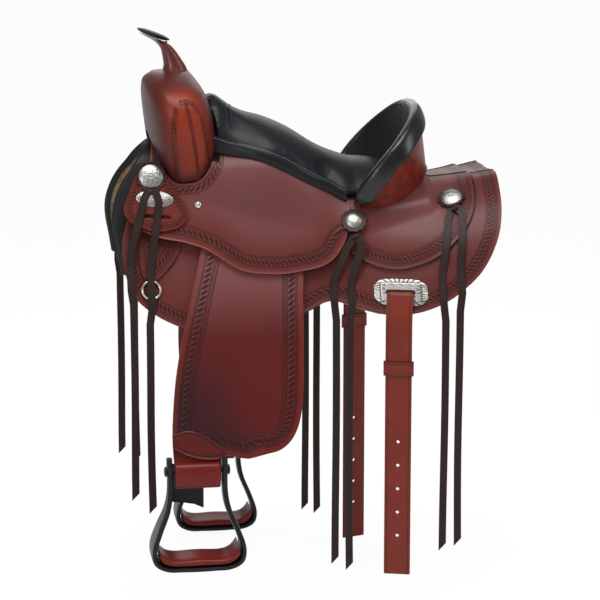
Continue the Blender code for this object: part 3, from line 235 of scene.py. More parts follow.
# %% Group: tooled border
def border_group():
    g, given, result = new_group("tooled_border", {"Edge": 0.0, "Run": 0.0, "Start": 0.009, "Width": 0.012,
                                                   "Period": 0.009}, ("Height", "Shade"))
    share = g.math("DIVIDE", g.math("SUBTRACT", given["Edge"], given["Start"]), given["Width"])
    inside = g.math("MULTIPLY", g.step(share, 0.10, 0.18), g.step(share, 0.90, 0.82))
    fold = g.math("ABSOLUTE", g.math("SUBTRACT", share, 0.5))
    lean = g.math("ADD", g.math("DIVIDE", given["Run"], given["Period"]), g.math("MULTIPLY", share, 1.25))
    leaf = g.math("ABSOLUTE", g.math("SUBTRACT", g.math("MULTIPLY", g.math("FRACT", lean), 2.0), 1.0))
    body = g.step(g.math("SUBTRACT", leaf, g.math("MULTIPLY", fold, 1.15)), 0.12, 0.42)
    vein = g.step(leaf, 0.90, 0.98)
    cut = g.math("MULTIPLY", g.math("SUBTRACT", body, g.math("MULTIPLY", vein, 0.7)), inside)
    lines = 0.0
    for place in (-0.14, 0.02, 0.98, 1.14):
        gap = g.math("ABSOLUTE", g.math("SUBTRACT", share, place))
        lines = g.math("MAXIMUM", lines, g.math("MULTIPLY", g.step(gap, 0.06, 0.02), 0.8))
    marks = g.math("MAXIMUM", cut, lines)
    puff = g.math("MULTIPLY", inside, g.math("SUBTRACT", 1.0, leaf))
    g.feed(result["Height"], g.math("SUBTRACT", g.math("MULTIPLY", puff, 0.35), marks))
    g.feed(result["Shade"], g.math("MULTIPLY", marks, g.step(given["Edge"], 4.0, 1.0)))
    return g.tree


BORDER = border_group()


# %% Group: row of stitches
def stitch_group():
    g, given, result = new_group("stitch_row", {"Edge": 0.0, "Run": 0.0, "Offset": 0.005, "Pitch": 0.0046},
                                 ("Height", "Thread"))
    gap = g.math("ABSOLUTE", g.math("SUBTRACT", given["Edge"], given["Offset"]))
    beat = g.math("ABSOLUTE", g.math("SUBTRACT", g.math("FRACT", g.math("DIVIDE", given["Run"], given["Pitch"])), 0.5))
    thread = g.math("MULTIPLY", g.step(gap, 0.0008, 0.0003), g.step(beat, 0.40, 0.30))
    groove = g.step(gap, 0.0016, 0.0006)
    g.feed(result["Height"], g.math("SUBTRACT", g.math("MULTIPLY", thread, 1.3), groove))
    g.feed(result["Thread"], thread)
    return g.tree


STITCH = stitch_group()


# %% Leather material
def leather(name, colour, dark, borders=(), stitches=(), rim=None, rim_width=0.0016, roughness=0.42, pores=900.0,
            clouds=9.0, mottle=0.45, pore_depth=0.00008, coat=0.12, thread=(0.05, 0.02, 0.015), lines=(), tints=(), gloss=0.24):
    """Glossy leather. Borders are (attribute, start, width, period), stitches and lines (attribute, offset), and
    tints (attribute, from, to, colour, strength)."""
    made = bpy.data.materials.new(name)
    made.use_nodes = True
    g = Graph(made.node_tree)
    shader = made.node_tree.nodes["Principled BSDF"]
    grain = g.group(GRAIN, Pores=pores, Clouds=clouds)
    tone = g.step(grain["Tone"], 0.30, 0.72)
    paint = g.mix(g.math("MULTIPLY", tone, mottle), (*colour, 1), (*dark, 1))
    for key, start, end, tint, strength in tints:
        share = g.math("MULTIPLY", g.step(g.stored(key), start, end), strength)
        paint = g.mix(g.math("MULTIPLY", share, g.step(grain["Tone"], 0.10, 0.62, 0.75, 1.0)), paint, (*tint, 1))
    height = g.math("MULTIPLY", grain["Height"], pore_depth)
    for key, start, width, period in borders:
        mark = g.group(BORDER, Edge=g.stored(key), Run=g.stored(key + "_run"), Start=start, Width=width,
                       Period=period)
        paint = g.mix(g.math("MULTIPLY", mark["Shade"], 0.86), paint, (dark[0] * 0.35, dark[1] * 0.35, dark[2] * 0.4, 1))
        height = g.math("ADD", height, g.math("MULTIPLY", mark["Height"], 0.0006))
    for key, offset in lines:
        gap = g.math("ABSOLUTE", g.math("SUBTRACT", g.stored(key), offset))
        line = g.step(gap, 0.0010, 0.0004)
        paint = g.mix(g.math("MULTIPLY", line, 0.6), paint, (dark[0] * 0.4, dark[1] * 0.4, dark[2] * 0.4, 1))
        height = g.math("SUBTRACT", height, g.math("MULTIPLY", line, 0.0004))
    for key, offset in stitches:
        row = g.group(STITCH, Edge=g.stored(key), Run=g.stored(key + "_run"), Offset=offset)
        paint = g.mix(row["Thread"], paint, (*thread, 1))
        height = g.math("ADD", height, g.math("MULTIPLY", row["Height"], 0.0004))
    if rim:
        paint = g.mix(g.step(g.stored("edge"), rim_width, rim_width * 0.4), paint, (*rim, 1))
    g.feed(shader.inputs["Base Color"], paint)
    g.feed(shader.inputs["Roughness"], g.math("ADD", roughness - 0.06, g.math("MULTIPLY", grain["Tone"], 0.12)))
    shader.inputs["Specular IOR Level"].default_value = gloss
    shader.inputs["Coat Weight"].default_value = coat
    shader.inputs["Coat Roughness"].default_value = 0.25
    bump = made.node_tree.nodes.new("ShaderNodeBump")
    bump.inputs["Strength"].default_value = 1.0
    bump.inputs["Distance"].default_value = 1.0
    g.feed(bump.inputs["Height"], height)
    g.feed(shader.inputs["Normal"], bump.outputs["Normal"])
    return made


def plain(name, colour, roughness, metallic=0.0, spots=0.0, spot_scale=60.0, depth=0.0, dark=None, groove=None):
    """Metal, felt or plastic with fine scratches or pile; groove names an attribute that darkens it."""
    made = bpy.data.materials.new(name)
    made.use_nodes = True
    g = Graph(made.node_tree)
    shader = made.node_tree.nodes["Principled BSDF"]
    cloud = g.noise(spot_scale, 5.0, 0.65)
    dark = dark or tuple(c * 0.6 for c in colour)
    paint = g.mix(g.math("MULTIPLY", g.step(cloud, 0.35, 0.7), spots), (*colour, 1), (*dark, 1))
    if groove:
        paint = g.mix(g.stored(groove), paint, (colour[0] * 0.10, colour[1] * 0.10, colour[2] * 0.10, 1))
    g.feed(shader.inputs["Base Color"], paint)
    g.feed(shader.inputs["Roughness"], g.math("ADD", roughness, g.math("MULTIPLY", cloud, 0.15)))
    shader.inputs["Metallic"].default_value = metallic
    bump = made.node_tree.nodes.new("ShaderNodeBump")
    bump.inputs["Distance"].default_value = 1.0
    g.feed(bump.inputs["Height"], g.math("MULTIPLY", g.noise(spot_scale * 12, 2.0), depth))
    g.feed(shader.inputs["Normal"], bump.outputs["Normal"])
    return made


# %% Finishes
RED, RED_DARK = (0.150, 0.026, 0.021), (0.060, 0.010, 0.010)
# The dark purple colour is painted shade, where light falls off.
# The mauve colour is a painted highlight: the overhead lamp's sheen painted into the leather.
ORANGE, PAINTED_SHEEN, PAINTED_SHADE = (0.250, 0.036, 0.013), (0.185, 0.062, 0.062), (0.028, 0.007, 0.012)
# On the skirt, the rear and the seat jockeys the mauve tint away from the edges is a painted highlight, the lamp's
# sheen.
panel_leather = leather("tooled_panel", RED, RED_DARK, borders=[("edge", 0.0105, 0.0125, 0.0085)],
                        stitches=[("edge", 0.0058)], rim=ORANGE, tints=[("edge", 0.030, 0.080, PAINTED_SHEEN, 0.35)])
rear_leather = leather("rear_panel", RED, RED_DARK, borders=[("edge", 0.0105, 0.0120, 0.0085)],
                       stitches=[("edge", 0.0060)], rim=(0.010, 0.006, 0.006), rim_width=0.0026,
                       tints=[("edge", 0.020, 0.070, PAINTED_SHEEN, 0.5)], lines=[("edge", 0.0270)])
jockey_leather = leather("jockey_panel", RED, RED_DARK, borders=[("edge", 0.0120, 0.0130, 0.0085),
                         ("inner", 0.0060, 0.0110, 0.0080)], rim=ORANGE, rim_width=0.0030, lines=[("edge", 0.0290)],
                         tints=[("edge", 0.025, 0.075, PAINTED_SHEEN, 0.75), ("inner", 0.030, 0.012, ORANGE, 0.25)])
breast_leather = leather("breast_panel", (0.170, 0.024, 0.017), RED_DARK, borders=[("edge", 0.0035, 0.0085, 0.0070)],
                         rim=ORANGE, rim_width=0.0018)
# Fender: the dark purple towards the lower front corner is painted shade.
# Fender: the pale pink towards its top is a painted highlight, where the leather turns up to the lamp.
fender_leather = leather("fender_panel", (0.125, 0.010, 0.008), RED_DARK, pores=600.0,
                         borders=[("edge", 0.0125, 0.0150, 0.0100)], lines=[("edge", 0.0330), ("edge", 0.0345)],
                         rim=(0.190, 0.026, 0.014), rim_width=0.0012,
                         tints=[("drop", 0.215, 0.070, (0.230, 0.088, 0.086), 0.85), ("corner_shade", 0.0, 1.0, PAINTED_SHADE, 0.80),
                                ("edge", 0.012, 0.002, (0.210, 0.028, 0.014), 0.45)])
# Fork: the broad orange glow along the seam is a painted highlight on its lit middle, and the darkening at its foot is
# painted shade where it meets the pad.
fork_leather = leather("fork_leather", (0.105, 0.016, 0.013), (0.044, 0.008, 0.009), roughness=0.38, coat=0.08,
                       borders=[("arch", -0.0004, 0.0040, 0.0056)], gloss=0.24, lines=[("seam", 0.0003)],
                       tints=[("seam", 0.058, 0.006, (0.330, 0.036, 0.011), 0.85),
                              ("foot", 0.030, 0.004, PAINTED_SHADE, 0.85)])
wrap_leather = leather("wrap_leather", (0.210, 0.014, 0.009), (0.105, 0.008, 0.006), roughness=0.36, rim=RED_DARK,
                       clouds=16.0, mottle=0.6)
patch_leather = leather("patch_leather", (0.120, 0.012, 0.010), (0.060, 0.008, 0.008), rim=(0.30, 0.05, 0.03),
                        rim_width=0.0010, lines=[("edge", 0.0036), ("edge", 0.0050)])
# Cantle back: darker towards its foot, a painted shade where it stands on the leather below.
mottled_leather = leather("mottled_leather", (0.340, 0.034, 0.015), (0.085, 0.010, 0.010), clouds=60.0, mottle=0.95,
                          roughness=0.36, tints=[("back", 0.040, 0.004, PAINTED_SHADE, 0.35)])
billet_leather = leather("billet_leather", (0.250, 0.030, 0.014), (0.120, 0.014, 0.010), clouds=14.0, mottle=0.6,
                         stitches=[("edge", 0.0042)], rim=RED_DARK, thread=(0.02, 0.012, 0.01))
thong_leather = leather("thong_leather", (0.030, 0.015, 0.012), (0.012, 0.007, 0.007), roughness=0.5, clouds=25.0,
                        coat=0.05)
rosette_leather = leather("rosette_leather", (0.040, 0.012, 0.011), (0.014, 0.007, 0.007), roughness=0.5, clouds=60.0)
black_seat = leather("black_seat", (0.0085, 0.0095, 0.0125), (0.0045, 0.0050, 0.0070), roughness=0.44, pores=800.0,
                     coat=0.10, pore_depth=0.00012)
black_dish = leather("black_dish", (0.0065, 0.0068, 0.0078), (0.0035, 0.0037, 0.0045), roughness=0.58, pores=700.0,
                     coat=0.0, pore_depth=0.00012)
black_gloss = leather("black_gloss", (0.0050, 0.0054, 0.0068), (0.003, 0.003, 0.004), roughness=0.27, coat=0.30,
                      gloss=0.45)
black_wrap = leather("black_wrap", (0.0085, 0.0090, 0.0105), (0.004, 0.004, 0.004), roughness=0.38, pores=420.0,
                     pore_depth=0.00030, stitches=[("edge", 0.0040)], thread=(0.03, 0.03, 0.03))
black_edge = leather("black_edge", (0.007, 0.0065, 0.0065), (0.004, 0.004, 0.004), roughness=0.5)
under_leather = leather("under_leather", (0.070, 0.018, 0.014), (0.025, 0.008, 0.008), roughness=0.55, coat=0.0)
silver = plain("engraved_silver", (0.66, 0.64, 0.59), 0.30, 1.0, spots=0.35, spot_scale=240.0, depth=0.00004,
               groove="groove")
bright_ring = plain("bright_ring", (0.74, 0.72, 0.69), 0.16, 1.0, spots=0.2, depth=0.00001)
steel = plain("brushed_steel", (0.42, 0.42, 0.43), 0.32, 1.0, spots=0.3, depth=0.00003)
dark_steel = plain("dark_steel", (0.040, 0.040, 0.042), 0.34, 1.0, spots=0.3, depth=0.00003)
wool = plain("fleece_wool", (0.52, 0.36, 0.22), 0.92, spots=0.85, spot_scale=90.0, depth=0.0016,
             dark=(0.22, 0.13, 0.075))
felt = plain("grey_felt", (0.045, 0.036, 0.034), 0.90, spots=0.5, depth=0.0004)
resin = plain("core_resin", (0.30, 0.26, 0.19), 0.55, spots=0.3, depth=0.0001)
paper = plain("floor_paper", (0.90, 0.90, 0.90), 0.80, spots=0.0)
floor.data.materials.append(paper)


def white_to_camera(material):
    """The floor is seen as white, and mirrored as white, but still catches the shadow softly."""
    tree = material.node_tree
    g = Graph(tree)
    path = tree.nodes.new("ShaderNodeLightPath")
    glow = tree.nodes.new("ShaderNodeEmission")
    glow.inputs["Strength"].default_value = 1.05
    blend = tree.nodes.new("ShaderNodeMixShader")
    mirrored = g.math("MAXIMUM", path.outputs["Is Glossy Ray"], path.outputs["Is Transmission Ray"])
    seen = g.math("MAXIMUM", g.math("MULTIPLY", path.outputs["Is Camera Ray"], 0.90), g.math("MULTIPLY", mirrored, 0.45))
    g.feed(blend.inputs[0], seen)
    tree.links.new(tree.nodes["Principled BSDF"].outputs[0], blend.inputs[1])
    tree.links.new(glow.outputs[0], blend.inputs[2])
    tree.links.new(blend.outputs[0], tree.nodes["Material Output"].inputs["Surface"])


white_to_camera(paper)


# %% [markdown]
# ## The flank
# Leather lies on the horse in a simple way: round over the crest, then straight down the side.
# A point is given by x along the saddle, s down from the crest (negative on the near side) and t out of the skin.
# The same functions as in the solid model place every panel here, so nothing has to be fitted.

# %% Curves and the flank
FLANK_ANGLE = math.radians(68)
CREST_HEIGHTS = [(-0.34, 0.080), (-0.25, 0.075), (-0.15, 0.045), (-0.05, 0.010),
                 (0.05, -0.008), (0.15, -0.008), (0.25, 0.002), (0.36, 0.012)]
SEAT_RISES = [(-0.27, 0.0), (-0.20, 0.008), (-0.145, 0.020), (-0.08, 0.046),
              (-0.03, 0.041), (0.03, 0.015), (0.08, 0.0)]


def interpolate(table, x):
    """Smooth value from a table of (x, value) pairs."""
    if x <= table[0][0]:
        return table[0][1]
    if x >= table[-1][0]:
        return table[-1][1]
    k = max(i for i, entry in enumerate(table[:-1]) if entry[0] <= x)

    def slope(i):
        low, high = max(i - 1, 0), min(i + 1, len(table) - 1)
        return (table[high][1] - table[low][1]) / (table[high][0] - table[low][0])

    (x0, y0), (x1, y1) = table[k], table[k + 1]
    span = x1 - x0
    t = (x - x0) / span
    return ((2 * t**3 - 3 * t**2 + 1) * y0 + (t**3 - 2 * t**2 + t) * slope(k) * span
            + (3 * t**2 - 2 * t**3) * y1 + (t**3 - t**2) * slope(k + 1) * span)


def level(table, x):
    """Straight-line value from a table."""
    for (x0, y0), (x1, y1) in zip(table, table[1:]):
        if x < x1:
            return y0 + (y1 - y0) * max(x - x0, 0.0) / (x1 - x0)
    return table[-1][1]


def ease(value):
    value = min(max(value, 0.0), 1.0)
    return value * value * (3 - 2 * value)


def along(points, u):
    """Point at share u of the length of a smooth curve."""
    points = [Vector(p) for p in points]
    lengths = [0.0]
    for a, b in zip(points, points[1:]):
        lengths.append(lengths[-1] + (b - a).length)
    return Vector([interpolate([(d, p[k]) for d, p in zip(lengths, points)], u * lengths[-1])
                   for k in range(len(points[0]))])


def crest_radius(x):
    fall = math.cos(FLANK_ANGLE) / (math.sin(FLANK_ANGLE) * math.tan(FLANK_ANGLE / 2))
    return 0.105 - fall * interpolate(CREST_HEIGHTS, x) + 0.095 * ease(x / 0.30)


def flank(x, s, t):
    side = -1 if s < 0 else 1
    s = abs(s)
    radius = crest_radius(x)
    angle = min(s / radius, FLANK_ANGLE)
    straight = max(s - radius * FLANK_ANGLE, 0.0)
    y = radius * math.sin(angle) + straight * math.cos(angle) + t * math.sin(angle)
    z = interpolate(CREST_HEIGHTS, x) - radius * (1 - math.cos(angle)) - straight * math.sin(angle)
    lift = 0.020 * ease((x - 0.20) / 0.14) * ease(s / 0.09)
    return Vector((x, side * y, z + t * math.cos(angle) + lift))


def flank_frame(x, s, t):
    """Rotation at a flank point, local Z out of the leather and local X to the rear, and the point."""
    step = 0.004
    side = -1 if s < 0 else 1
    rear = (flank(x + step, s, t) - flank(x - step, s, t)).normalized()
    down = (flank(x, s + side * step, t) - flank(x, s - side * step, t)).normalized()
    out = rear.cross(down).normalized() * side
    return Matrix((rear, out.cross(rear), out)).transposed().to_4x4(), flank(x, s, t)


# %% Layers of leather, measured out from the underside
SKIRT_BASE, ON_SKIRT, FENDER_BASE, PAD_TOP = 0.0116, 0.0171, 0.0222, 0.0262
JOCKEY_BASE, ON_JOCKEY, PLATE_TOP = 0.0287, 0.0337, 0.0377
OVAL_HEIGHT = 0.0032


def seat_rise(x, s):
    return interpolate(SEAT_RISES, x) * (1 - ease((abs(s) - 0.055) / 0.070))


def jockey_base(x, s):
    return JOCKEY_BASE + seat_rise(x, s)


def rear_base(x, s):
    """The rear jockey lies on the pad, then comes down onto the skirt."""
    on_pad = (1 - ease((x - 0.202) / 0.020)) * (1 - ease((abs(s) - 0.103) / 0.035))
    return ON_SKIRT + (JOCKEY_BASE - ON_SKIRT) * on_pad + seat_rise(x, s)


def seat_floor(x, s):
    return (jockey_base(x, s) if x < 0.068 else rear_base(x, s)) + 0.004


RING_X, RING_S = -0.150, 0.140
FAR_SWING = math.radians(10.2)


def fender_plane(side, x, d, t):
    """Point of the fender's plane, d down from its ring; the far one hangs swung back."""
    turn = FAR_SWING if side > 0 else 0.0
    dx = x - RING_X
    turned_x = dx * math.cos(turn) + d * math.sin(turn)
    turned_d = d * math.cos(turn) - dx * math.sin(turn)
    origin = flank(RING_X, side * RING_S, 0.0)
    sine, cosine = math.sin(FLANK_ANGLE), math.cos(FLANK_ANGLE)
    return Vector((RING_X + turned_x, side * (abs(origin.y) + turned_d * cosine + t * sine),
                   origin.z - turned_d * sine + t * cosine))


def side_name(side):
    return "left" if side < 0 else "right"


# %% [markdown]
# ## Mesh helpers
# A panel starts as a flat grid that is extruded to its thickness, and each point is then moved to its place on
# the flank. Its edges are bevelled, because cut leather is burnished round. A strap or a tube is one ring of
# points that is extruded from section to section.

# %% Mesh helpers
def finish(name, bm, skin, smooth=40):
    bmesh.ops.recalc_face_normals(bm, faces=bm.faces)
    if bm.calc_volume(signed=True) < 0:
        bmesh.ops.reverse_faces(bm, faces=bm.faces[:])
    mesh = bpy.data.meshes.new(name)
    bm.to_mesh(mesh)
    bm.free()
    mesh.materials.append(skin)
    mesh.shade_smooth()
    mesh.set_sharp_from_angle(angle=math.radians(smooth))
    piece = bpy.data.objects.new(name, mesh)
    bpy.context.scene.collection.objects.link(piece)
    return piece


def soften(bm, edges, offset, segments=2):
    bmesh.ops.bevel(bm, geom=edges, offset=offset, affect="EDGES", segments=segments, profile=0.5, material=-1)


def sheet(name, place, columns, rows, skin, bevel=0.0011):
    """Solid sheet: place(u, v, top) gives its lower and its upper surface."""
    bm = bmesh.new()
    bmesh.ops.create_grid(bm, x_segments=columns, y_segments=rows, size=0.5)
    shares = {vertex: (vertex.co.x + 0.5, vertex.co.y + 0.5) for vertex in bm.verts}
    grown = bmesh.ops.extrude_face_region(bm, geom=bm.faces[:])["geom"]
    raised = [item for item in grown if isinstance(item, bmesh.types.BMVert)]
    shares.update({vertex: (vertex.co.x + 0.5, vertex.co.y + 0.5) for vertex in raised})
    top = set(raised)
    for vertex, (u, v) in shares.items():
        vertex.co = place(u, v, vertex in top)
    if bevel:
        rim = [edge for edge in bm.edges if len({vertex in top for vertex in edge.verts}) == 1
               and len({sum(vertex in top for vertex in face.verts) == 2 for face in edge.link_faces}) == 2]
        soften(bm, rim, bevel)
    return finish(name, bm, skin)


def loft(name, rings, skin, smooth=40, bevel=0.0):
    """Closed body: the first ring of points is extruded from section to section."""
    bm = bmesh.new()
    first = [bm.verts.new(point) for point in rings[0]]
    start = bm.faces.new(first)
    edges = start.edges[:]
    for ring in rings[1:]:
        grown = bmesh.ops.extrude_edge_only(bm, edges=edges)["geom"]
        edges = [item for item in grown if isinstance(item, bmesh.types.BMEdge)]
        raised = [item for item in grown if isinstance(item, bmesh.types.BMVert)]
        before = {}
        for vertex in raised:
            for edge in vertex.link_edges:
                other = edge.other_vert(vertex)
                if other in first:
                    before[other] = vertex
        first = [before[vertex] for vertex in first]
        for vertex, point in zip(first, ring):
            vertex.co = point
    bm.faces.new(first)
    if bevel:
        sharp = [edge for edge in bm.edges if edge.calc_face_angle(0.0) > 1.0]
        soften(bm, sharp, bevel)
    return finish(name, bm, skin, smooth)


def turned(name, profile, steps, matrix, skin, smooth=40):
    """Full turn of a (radius, height) profile about local Z."""
    bm = bmesh.new()
    points = [bm.verts.new((radius, 0, height)) for radius, height in profile]
    edges = [bm.edges.new(pair) for pair in zip(points, points[1:])]
    bmesh.ops.spin(bm, geom=points + edges, cent=(0, 0, 0), axis=(0, 0, 1), angle=2 * math.pi, steps=steps,
                   use_merge=True)
    bmesh.ops.remove_doubles(bm, verts=bm.verts[:], dist=0.00001)
    bmesh.ops.transform(bm, matrix=matrix, verts=bm.verts[:])
    return finish(name, bm, skin, smooth)


def ring_piece(name, radius, wire, matrix, skin, steps=72, sides=20):
    bm = bmesh.new()
    section = bmesh.ops.create_circle(bm, segments=sides, radius=wire)["verts"]
    bmesh.ops.rotate(bm, verts=section, cent=(0, 0, 0), matrix=Matrix.Rotation(math.pi / 2, 3, "X"))
    bmesh.ops.translate(bm, verts=section, vec=(radius, 0, 0))
    bmesh.ops.spin(bm, geom=section + bm.edges[:], cent=(0, 0, 0), axis=(0, 0, 1), angle=2 * math.pi, steps=steps,
                   use_merge=True)
    bmesh.ops.remove_doubles(bm, verts=bm.verts[:], dist=0.00001)
    bmesh.ops.transform(bm, matrix=matrix, verts=bm.verts[:])
    return finish(name, bm, skin)


def tube(name, line, radius, skin, sides=10):
    """Round cord along a line of points."""
    rings = []
    for k, point in enumerate(line):
        tangent = (line[min(k + 1, len(line) - 1)] - line[max(k - 1, 0)]).normalized()
        side = tangent.orthogonal().normalized() if k == 0 else (side - tangent * side.dot(tangent)).normalized()
        other = tangent.cross(side)
        rings.append([point + (side * math.cos(a) + other * math.sin(a)) * radius
                      for a in (2 * math.pi * c / sides for c in range(sides))])
    return loft(name, rings, skin, 70)


def mark(piece, key, lines):
    """Stores each point's distance to the nearest line, and how far along that line it is."""
    mesh = piece.data
    spots = np.empty(len(mesh.vertices) * 3)
    mesh.vertices.foreach_get("co", spots)
    spots = spots.reshape(-1, 3)
    best, run, offset = np.full(len(spots), 9.0), np.zeros(len(spots)), 0.0
    for line in lines:
        line = np.array([tuple(point) for point in line])
        for a, b in zip(line[:-1], line[1:]):
            step = b - a
            length = max(float(np.linalg.norm(step)), 1e-9)
            share = np.clip((spots - a) @ step / length**2, 0, 1)
            gap = np.linalg.norm(spots - a - share[:, None] * step, axis=1)
            closer = gap < best
            best[closer] = gap[closer]
            run[closer] = offset + share[closer] * length
            offset += length
    mesh.attributes.new(key, "FLOAT", "POINT").data.foreach_set("value", best)
    mesh.attributes.new(key + "_run", "FLOAT", "POINT").data.foreach_set("value", run)


def settle(piece):
    """Applies a piece's modifiers to its mesh."""
    graph = bpy.context.evaluated_depsgraph_get()
    mesh = bpy.data.meshes.new_from_object(piece.evaluated_get(graph))
    piece.modifiers.clear()
    piece.data = mesh


def wear(piece, body, *nodes):
    """The piece rides on a body, and may stand for nodes of the solid model."""
    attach(piece, body)
    if nodes:
        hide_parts(*nodes)
    return piece


# %% [markdown]
# ## Tie strings
# Each silver concho is tied on with a flat thong whose two ends hang free, and they are the saddle's only cords.
# A thong is limp: it lies on the leather down to the skirt's edge, then hangs straight, with a slanted tip.
# They come first, because they decide how far the model reaches below the skirts.

# %% Strings
STRING_WIDTH, STRING_THICKNESS, STRING_SPREAD = 0.0127, 0.0018, 0.0085
FRONT_CONCHO, SEAT_CONCHO, REAR_CONCHO = (-0.267, 0.090), (0.071, 0.118), (0.241, 0.112)
ROSETTE_RADIUS = 0.0200
SKIRT_EDGE = [(-0.258, 0.004), (-0.262, 0.050), (-0.273, 0.085), (-0.290, 0.120), (-0.306, 0.158), (-0.317, 0.204),
              (-0.311, 0.261), (-0.296, 0.295), (-0.270, 0.318), (-0.240, 0.332), (-0.200, 0.338),
              (-0.110, 0.305), (-0.016, 0.265), (0.026, 0.241), (0.055, 0.247), (0.115, 0.274),
              (0.165, 0.286), (0.204, 0.284), (0.241, 0.274), (0.276, 0.253), (0.305, 0.210),
              (0.318, 0.165), (0.324, 0.110), (0.329, 0.050), (0.333, 0.004)]
ring_top = ON_SKIRT + 0.0047
rear_top = rear_base(*REAR_CONCHO) + 0.005
THONGS = [
    ("front", FRONT_CONCHO, [(-0.303, -0.499), (-0.277, -0.520)],
     [(0.100, PLATE_TOP + 0.0038), (0.144, PLATE_TOP + 0.0038), (0.160, PLATE_TOP + 0.0003),
      (0.188, PLATE_TOP + 0.0003), (0.206, ON_JOCKEY), (0.226, ring_top), (0.305, ring_top),
      (0.320, ON_SKIRT + 0.0006)]),
    ("seat", SEAT_CONCHO, [(0.036, -0.624), (0.058, -0.634)],
     [(0.120, ON_JOCKEY), (0.184, ON_JOCKEY), (0.212, ON_SKIRT + 0.0006)]),
    ("rear", REAR_CONCHO, [(0.2130, -0.594), (0.2370, -0.586)],
     [(0.100, rear_top), (0.208, rear_top), (0.226, ON_SKIRT + 0.0006)]),
]


def thong_path(side, concho, end, heights, k):
    """Centre line of one end, with the direction out of the leather at each point."""
    start_s = concho[1] + ROSETTE_RADIUS + 0.0010
    turn_s = start_s + 0.017
    x_end, z_end = end
    edge_s = level([(x, s) for x, s in SKIRT_EDGE if s > 0.2], x_end) + 0.002
    path = []
    for j in range(19):
        share = j / 18
        s = start_s + (edge_s - start_s) * share
        spread = STRING_SPREAD * (2 * k - 1) * ease((s - start_s) / 0.020) + 0.0035 * (2 * k - 1)
        x = concho[0] + spread + (x_end - concho[0] - STRING_SPREAD * (2 * k - 1)) * ease(share * 1.3)
        high = sum(level(heights, s + shift) for shift in (-0.006, 0.0, 0.006)) / 3
        high = max(high, level(heights, s)) + STRING_THICKNESS / 2 + 0.0003
        high += 0.0016 * k * (1 - ease((s - turn_s) / 0.020))
        matrix, origin = flank_frame(x, side * s, high)
        path.append((origin, matrix.col[2].xyz))
    last = path[-1][0]
    for j in range(1, 15):
        share = j / 14
        sway = 0.0012 * math.sin(share * 5 + 2 * k) * share
        point = Vector((x_end + sway, last.y + side * 0.0006 * math.sin(share * 7), last.z + (z_end - last.z) * share))
        path.append((point, Vector((0, side, 0)).lerp(path[18][1], max(0.0, 1 - share * 6)).normalized()))
    return path


def thong(name, side, path, slant):
    rings = []
    for j, (point, out) in enumerate(path):
        before, after = path[max(j - 1, 0)][0], path[min(j + 1, len(path) - 1)][0]
        across = (after - before).cross(out).normalized() * side
        thick = across.cross(after - before).normalized()
        lean = Vector((0, 0, 0.0065 * slant)) if j == len(path) - 1 else Vector()
        half, skin = STRING_WIDTH / 2, STRING_THICKNESS / 2
        section = [(-1, -0.4), (-0.93, -1), (0.93, -1), (1, -0.4), (1, 0.4), (0.93, 1), (-0.93, 1), (-1, 0.4)]
        rings.append([point + across * half * a + thick * skin * b + lean * a for a, b in section])
    return loft(name, rings, thong_leather, 30)


def tie_thongs():
    made = 0
    for place, concho, ends, heights in THONGS:
        for side in (-1, 1):
            for k, end in enumerate(ends):
                path = thong_path(side, concho, end, heights, k)
                name = f"{place}_thong_{side_name(side)}_{'ab'[k]}"
                piece = thong(name, side, path, 1)
                line = [point for point, _ in path]
                mark(piece, "edge", [line])
                wear(piece, "root", f"{place}_string_{side_name(side)}")
                made += 1
    print("thongs", made)


tie_thongs()

# %% [markdown]
# ## Skirts and jockeys
# The big skirts carry everything. Over them lie the seat jockeys, which hide the tops of the fenders, and the
# rear jockeys behind the cantle. All of them are plain sheets of leather with a tooled border, so one helper
# makes them from the two curves that bound each.

# %% Outlines
SKIRT_TOP = [(-0.262, 0.0006), (0.332, 0.0006)]
SEAT_JOCKEY_TOP = [(-0.264, 0.092), (-0.240, 0.104), (-0.205, 0.108), (-0.168, 0.092),
                   (-0.150, 0.060), (-0.140, 0.010), (-0.060, 0.004), (0.066, 0.004)]
SEAT_JOCKEY_EDGE = [(-0.268, 0.094), (-0.288, 0.118), (-0.302, 0.150), (-0.292, 0.176), (-0.256, 0.192),
                    (-0.214, 0.194), (-0.181, 0.198), (-0.125, 0.219), (-0.075, 0.214), (-0.024, 0.200),
                    (0.028, 0.178), (0.055, 0.142), (0.0665, 0.100), (0.067, 0.010)]
REAR_JOCKEY_TOP = [(0.0690, 0.0006), (0.284, 0.0006)]
REAR_JOCKEY_EDGE = [(0.0690, 0.006), (0.0690, 0.115), (0.058, 0.150), (0.074, 0.170), (0.107, 0.193),
                    (0.139, 0.206), (0.175, 0.208), (0.208, 0.202), (0.240, 0.187), (0.262, 0.166),
                    (0.276, 0.138), (0.283, 0.100), (0.286, 0.050), (0.287, 0.006)]
PLATE_FRONT = [(-0.271, 0.070), (-0.283, 0.074), (-0.292, 0.090), (-0.304, 0.118), (-0.313, 0.142), (-0.310, 0.160),
               (-0.294, 0.174), (-0.268, 0.183)]
PLATE_REAR = [(-0.263, 0.070), (-0.249, 0.075), (-0.240, 0.090), (-0.225, 0.112), (-0.211, 0.132), (-0.207, 0.150),
              (-0.222, 0.170), (-0.252, 0.183)]
RIGGING_FRONT = [(-0.286, 0.176), (-0.290, 0.215), (-0.288, 0.245), (-0.284, 0.262)]
RIGGING_REAR = [(-0.220, 0.176), (-0.226, 0.215), (-0.250, 0.250), (-0.262, 0.262)]


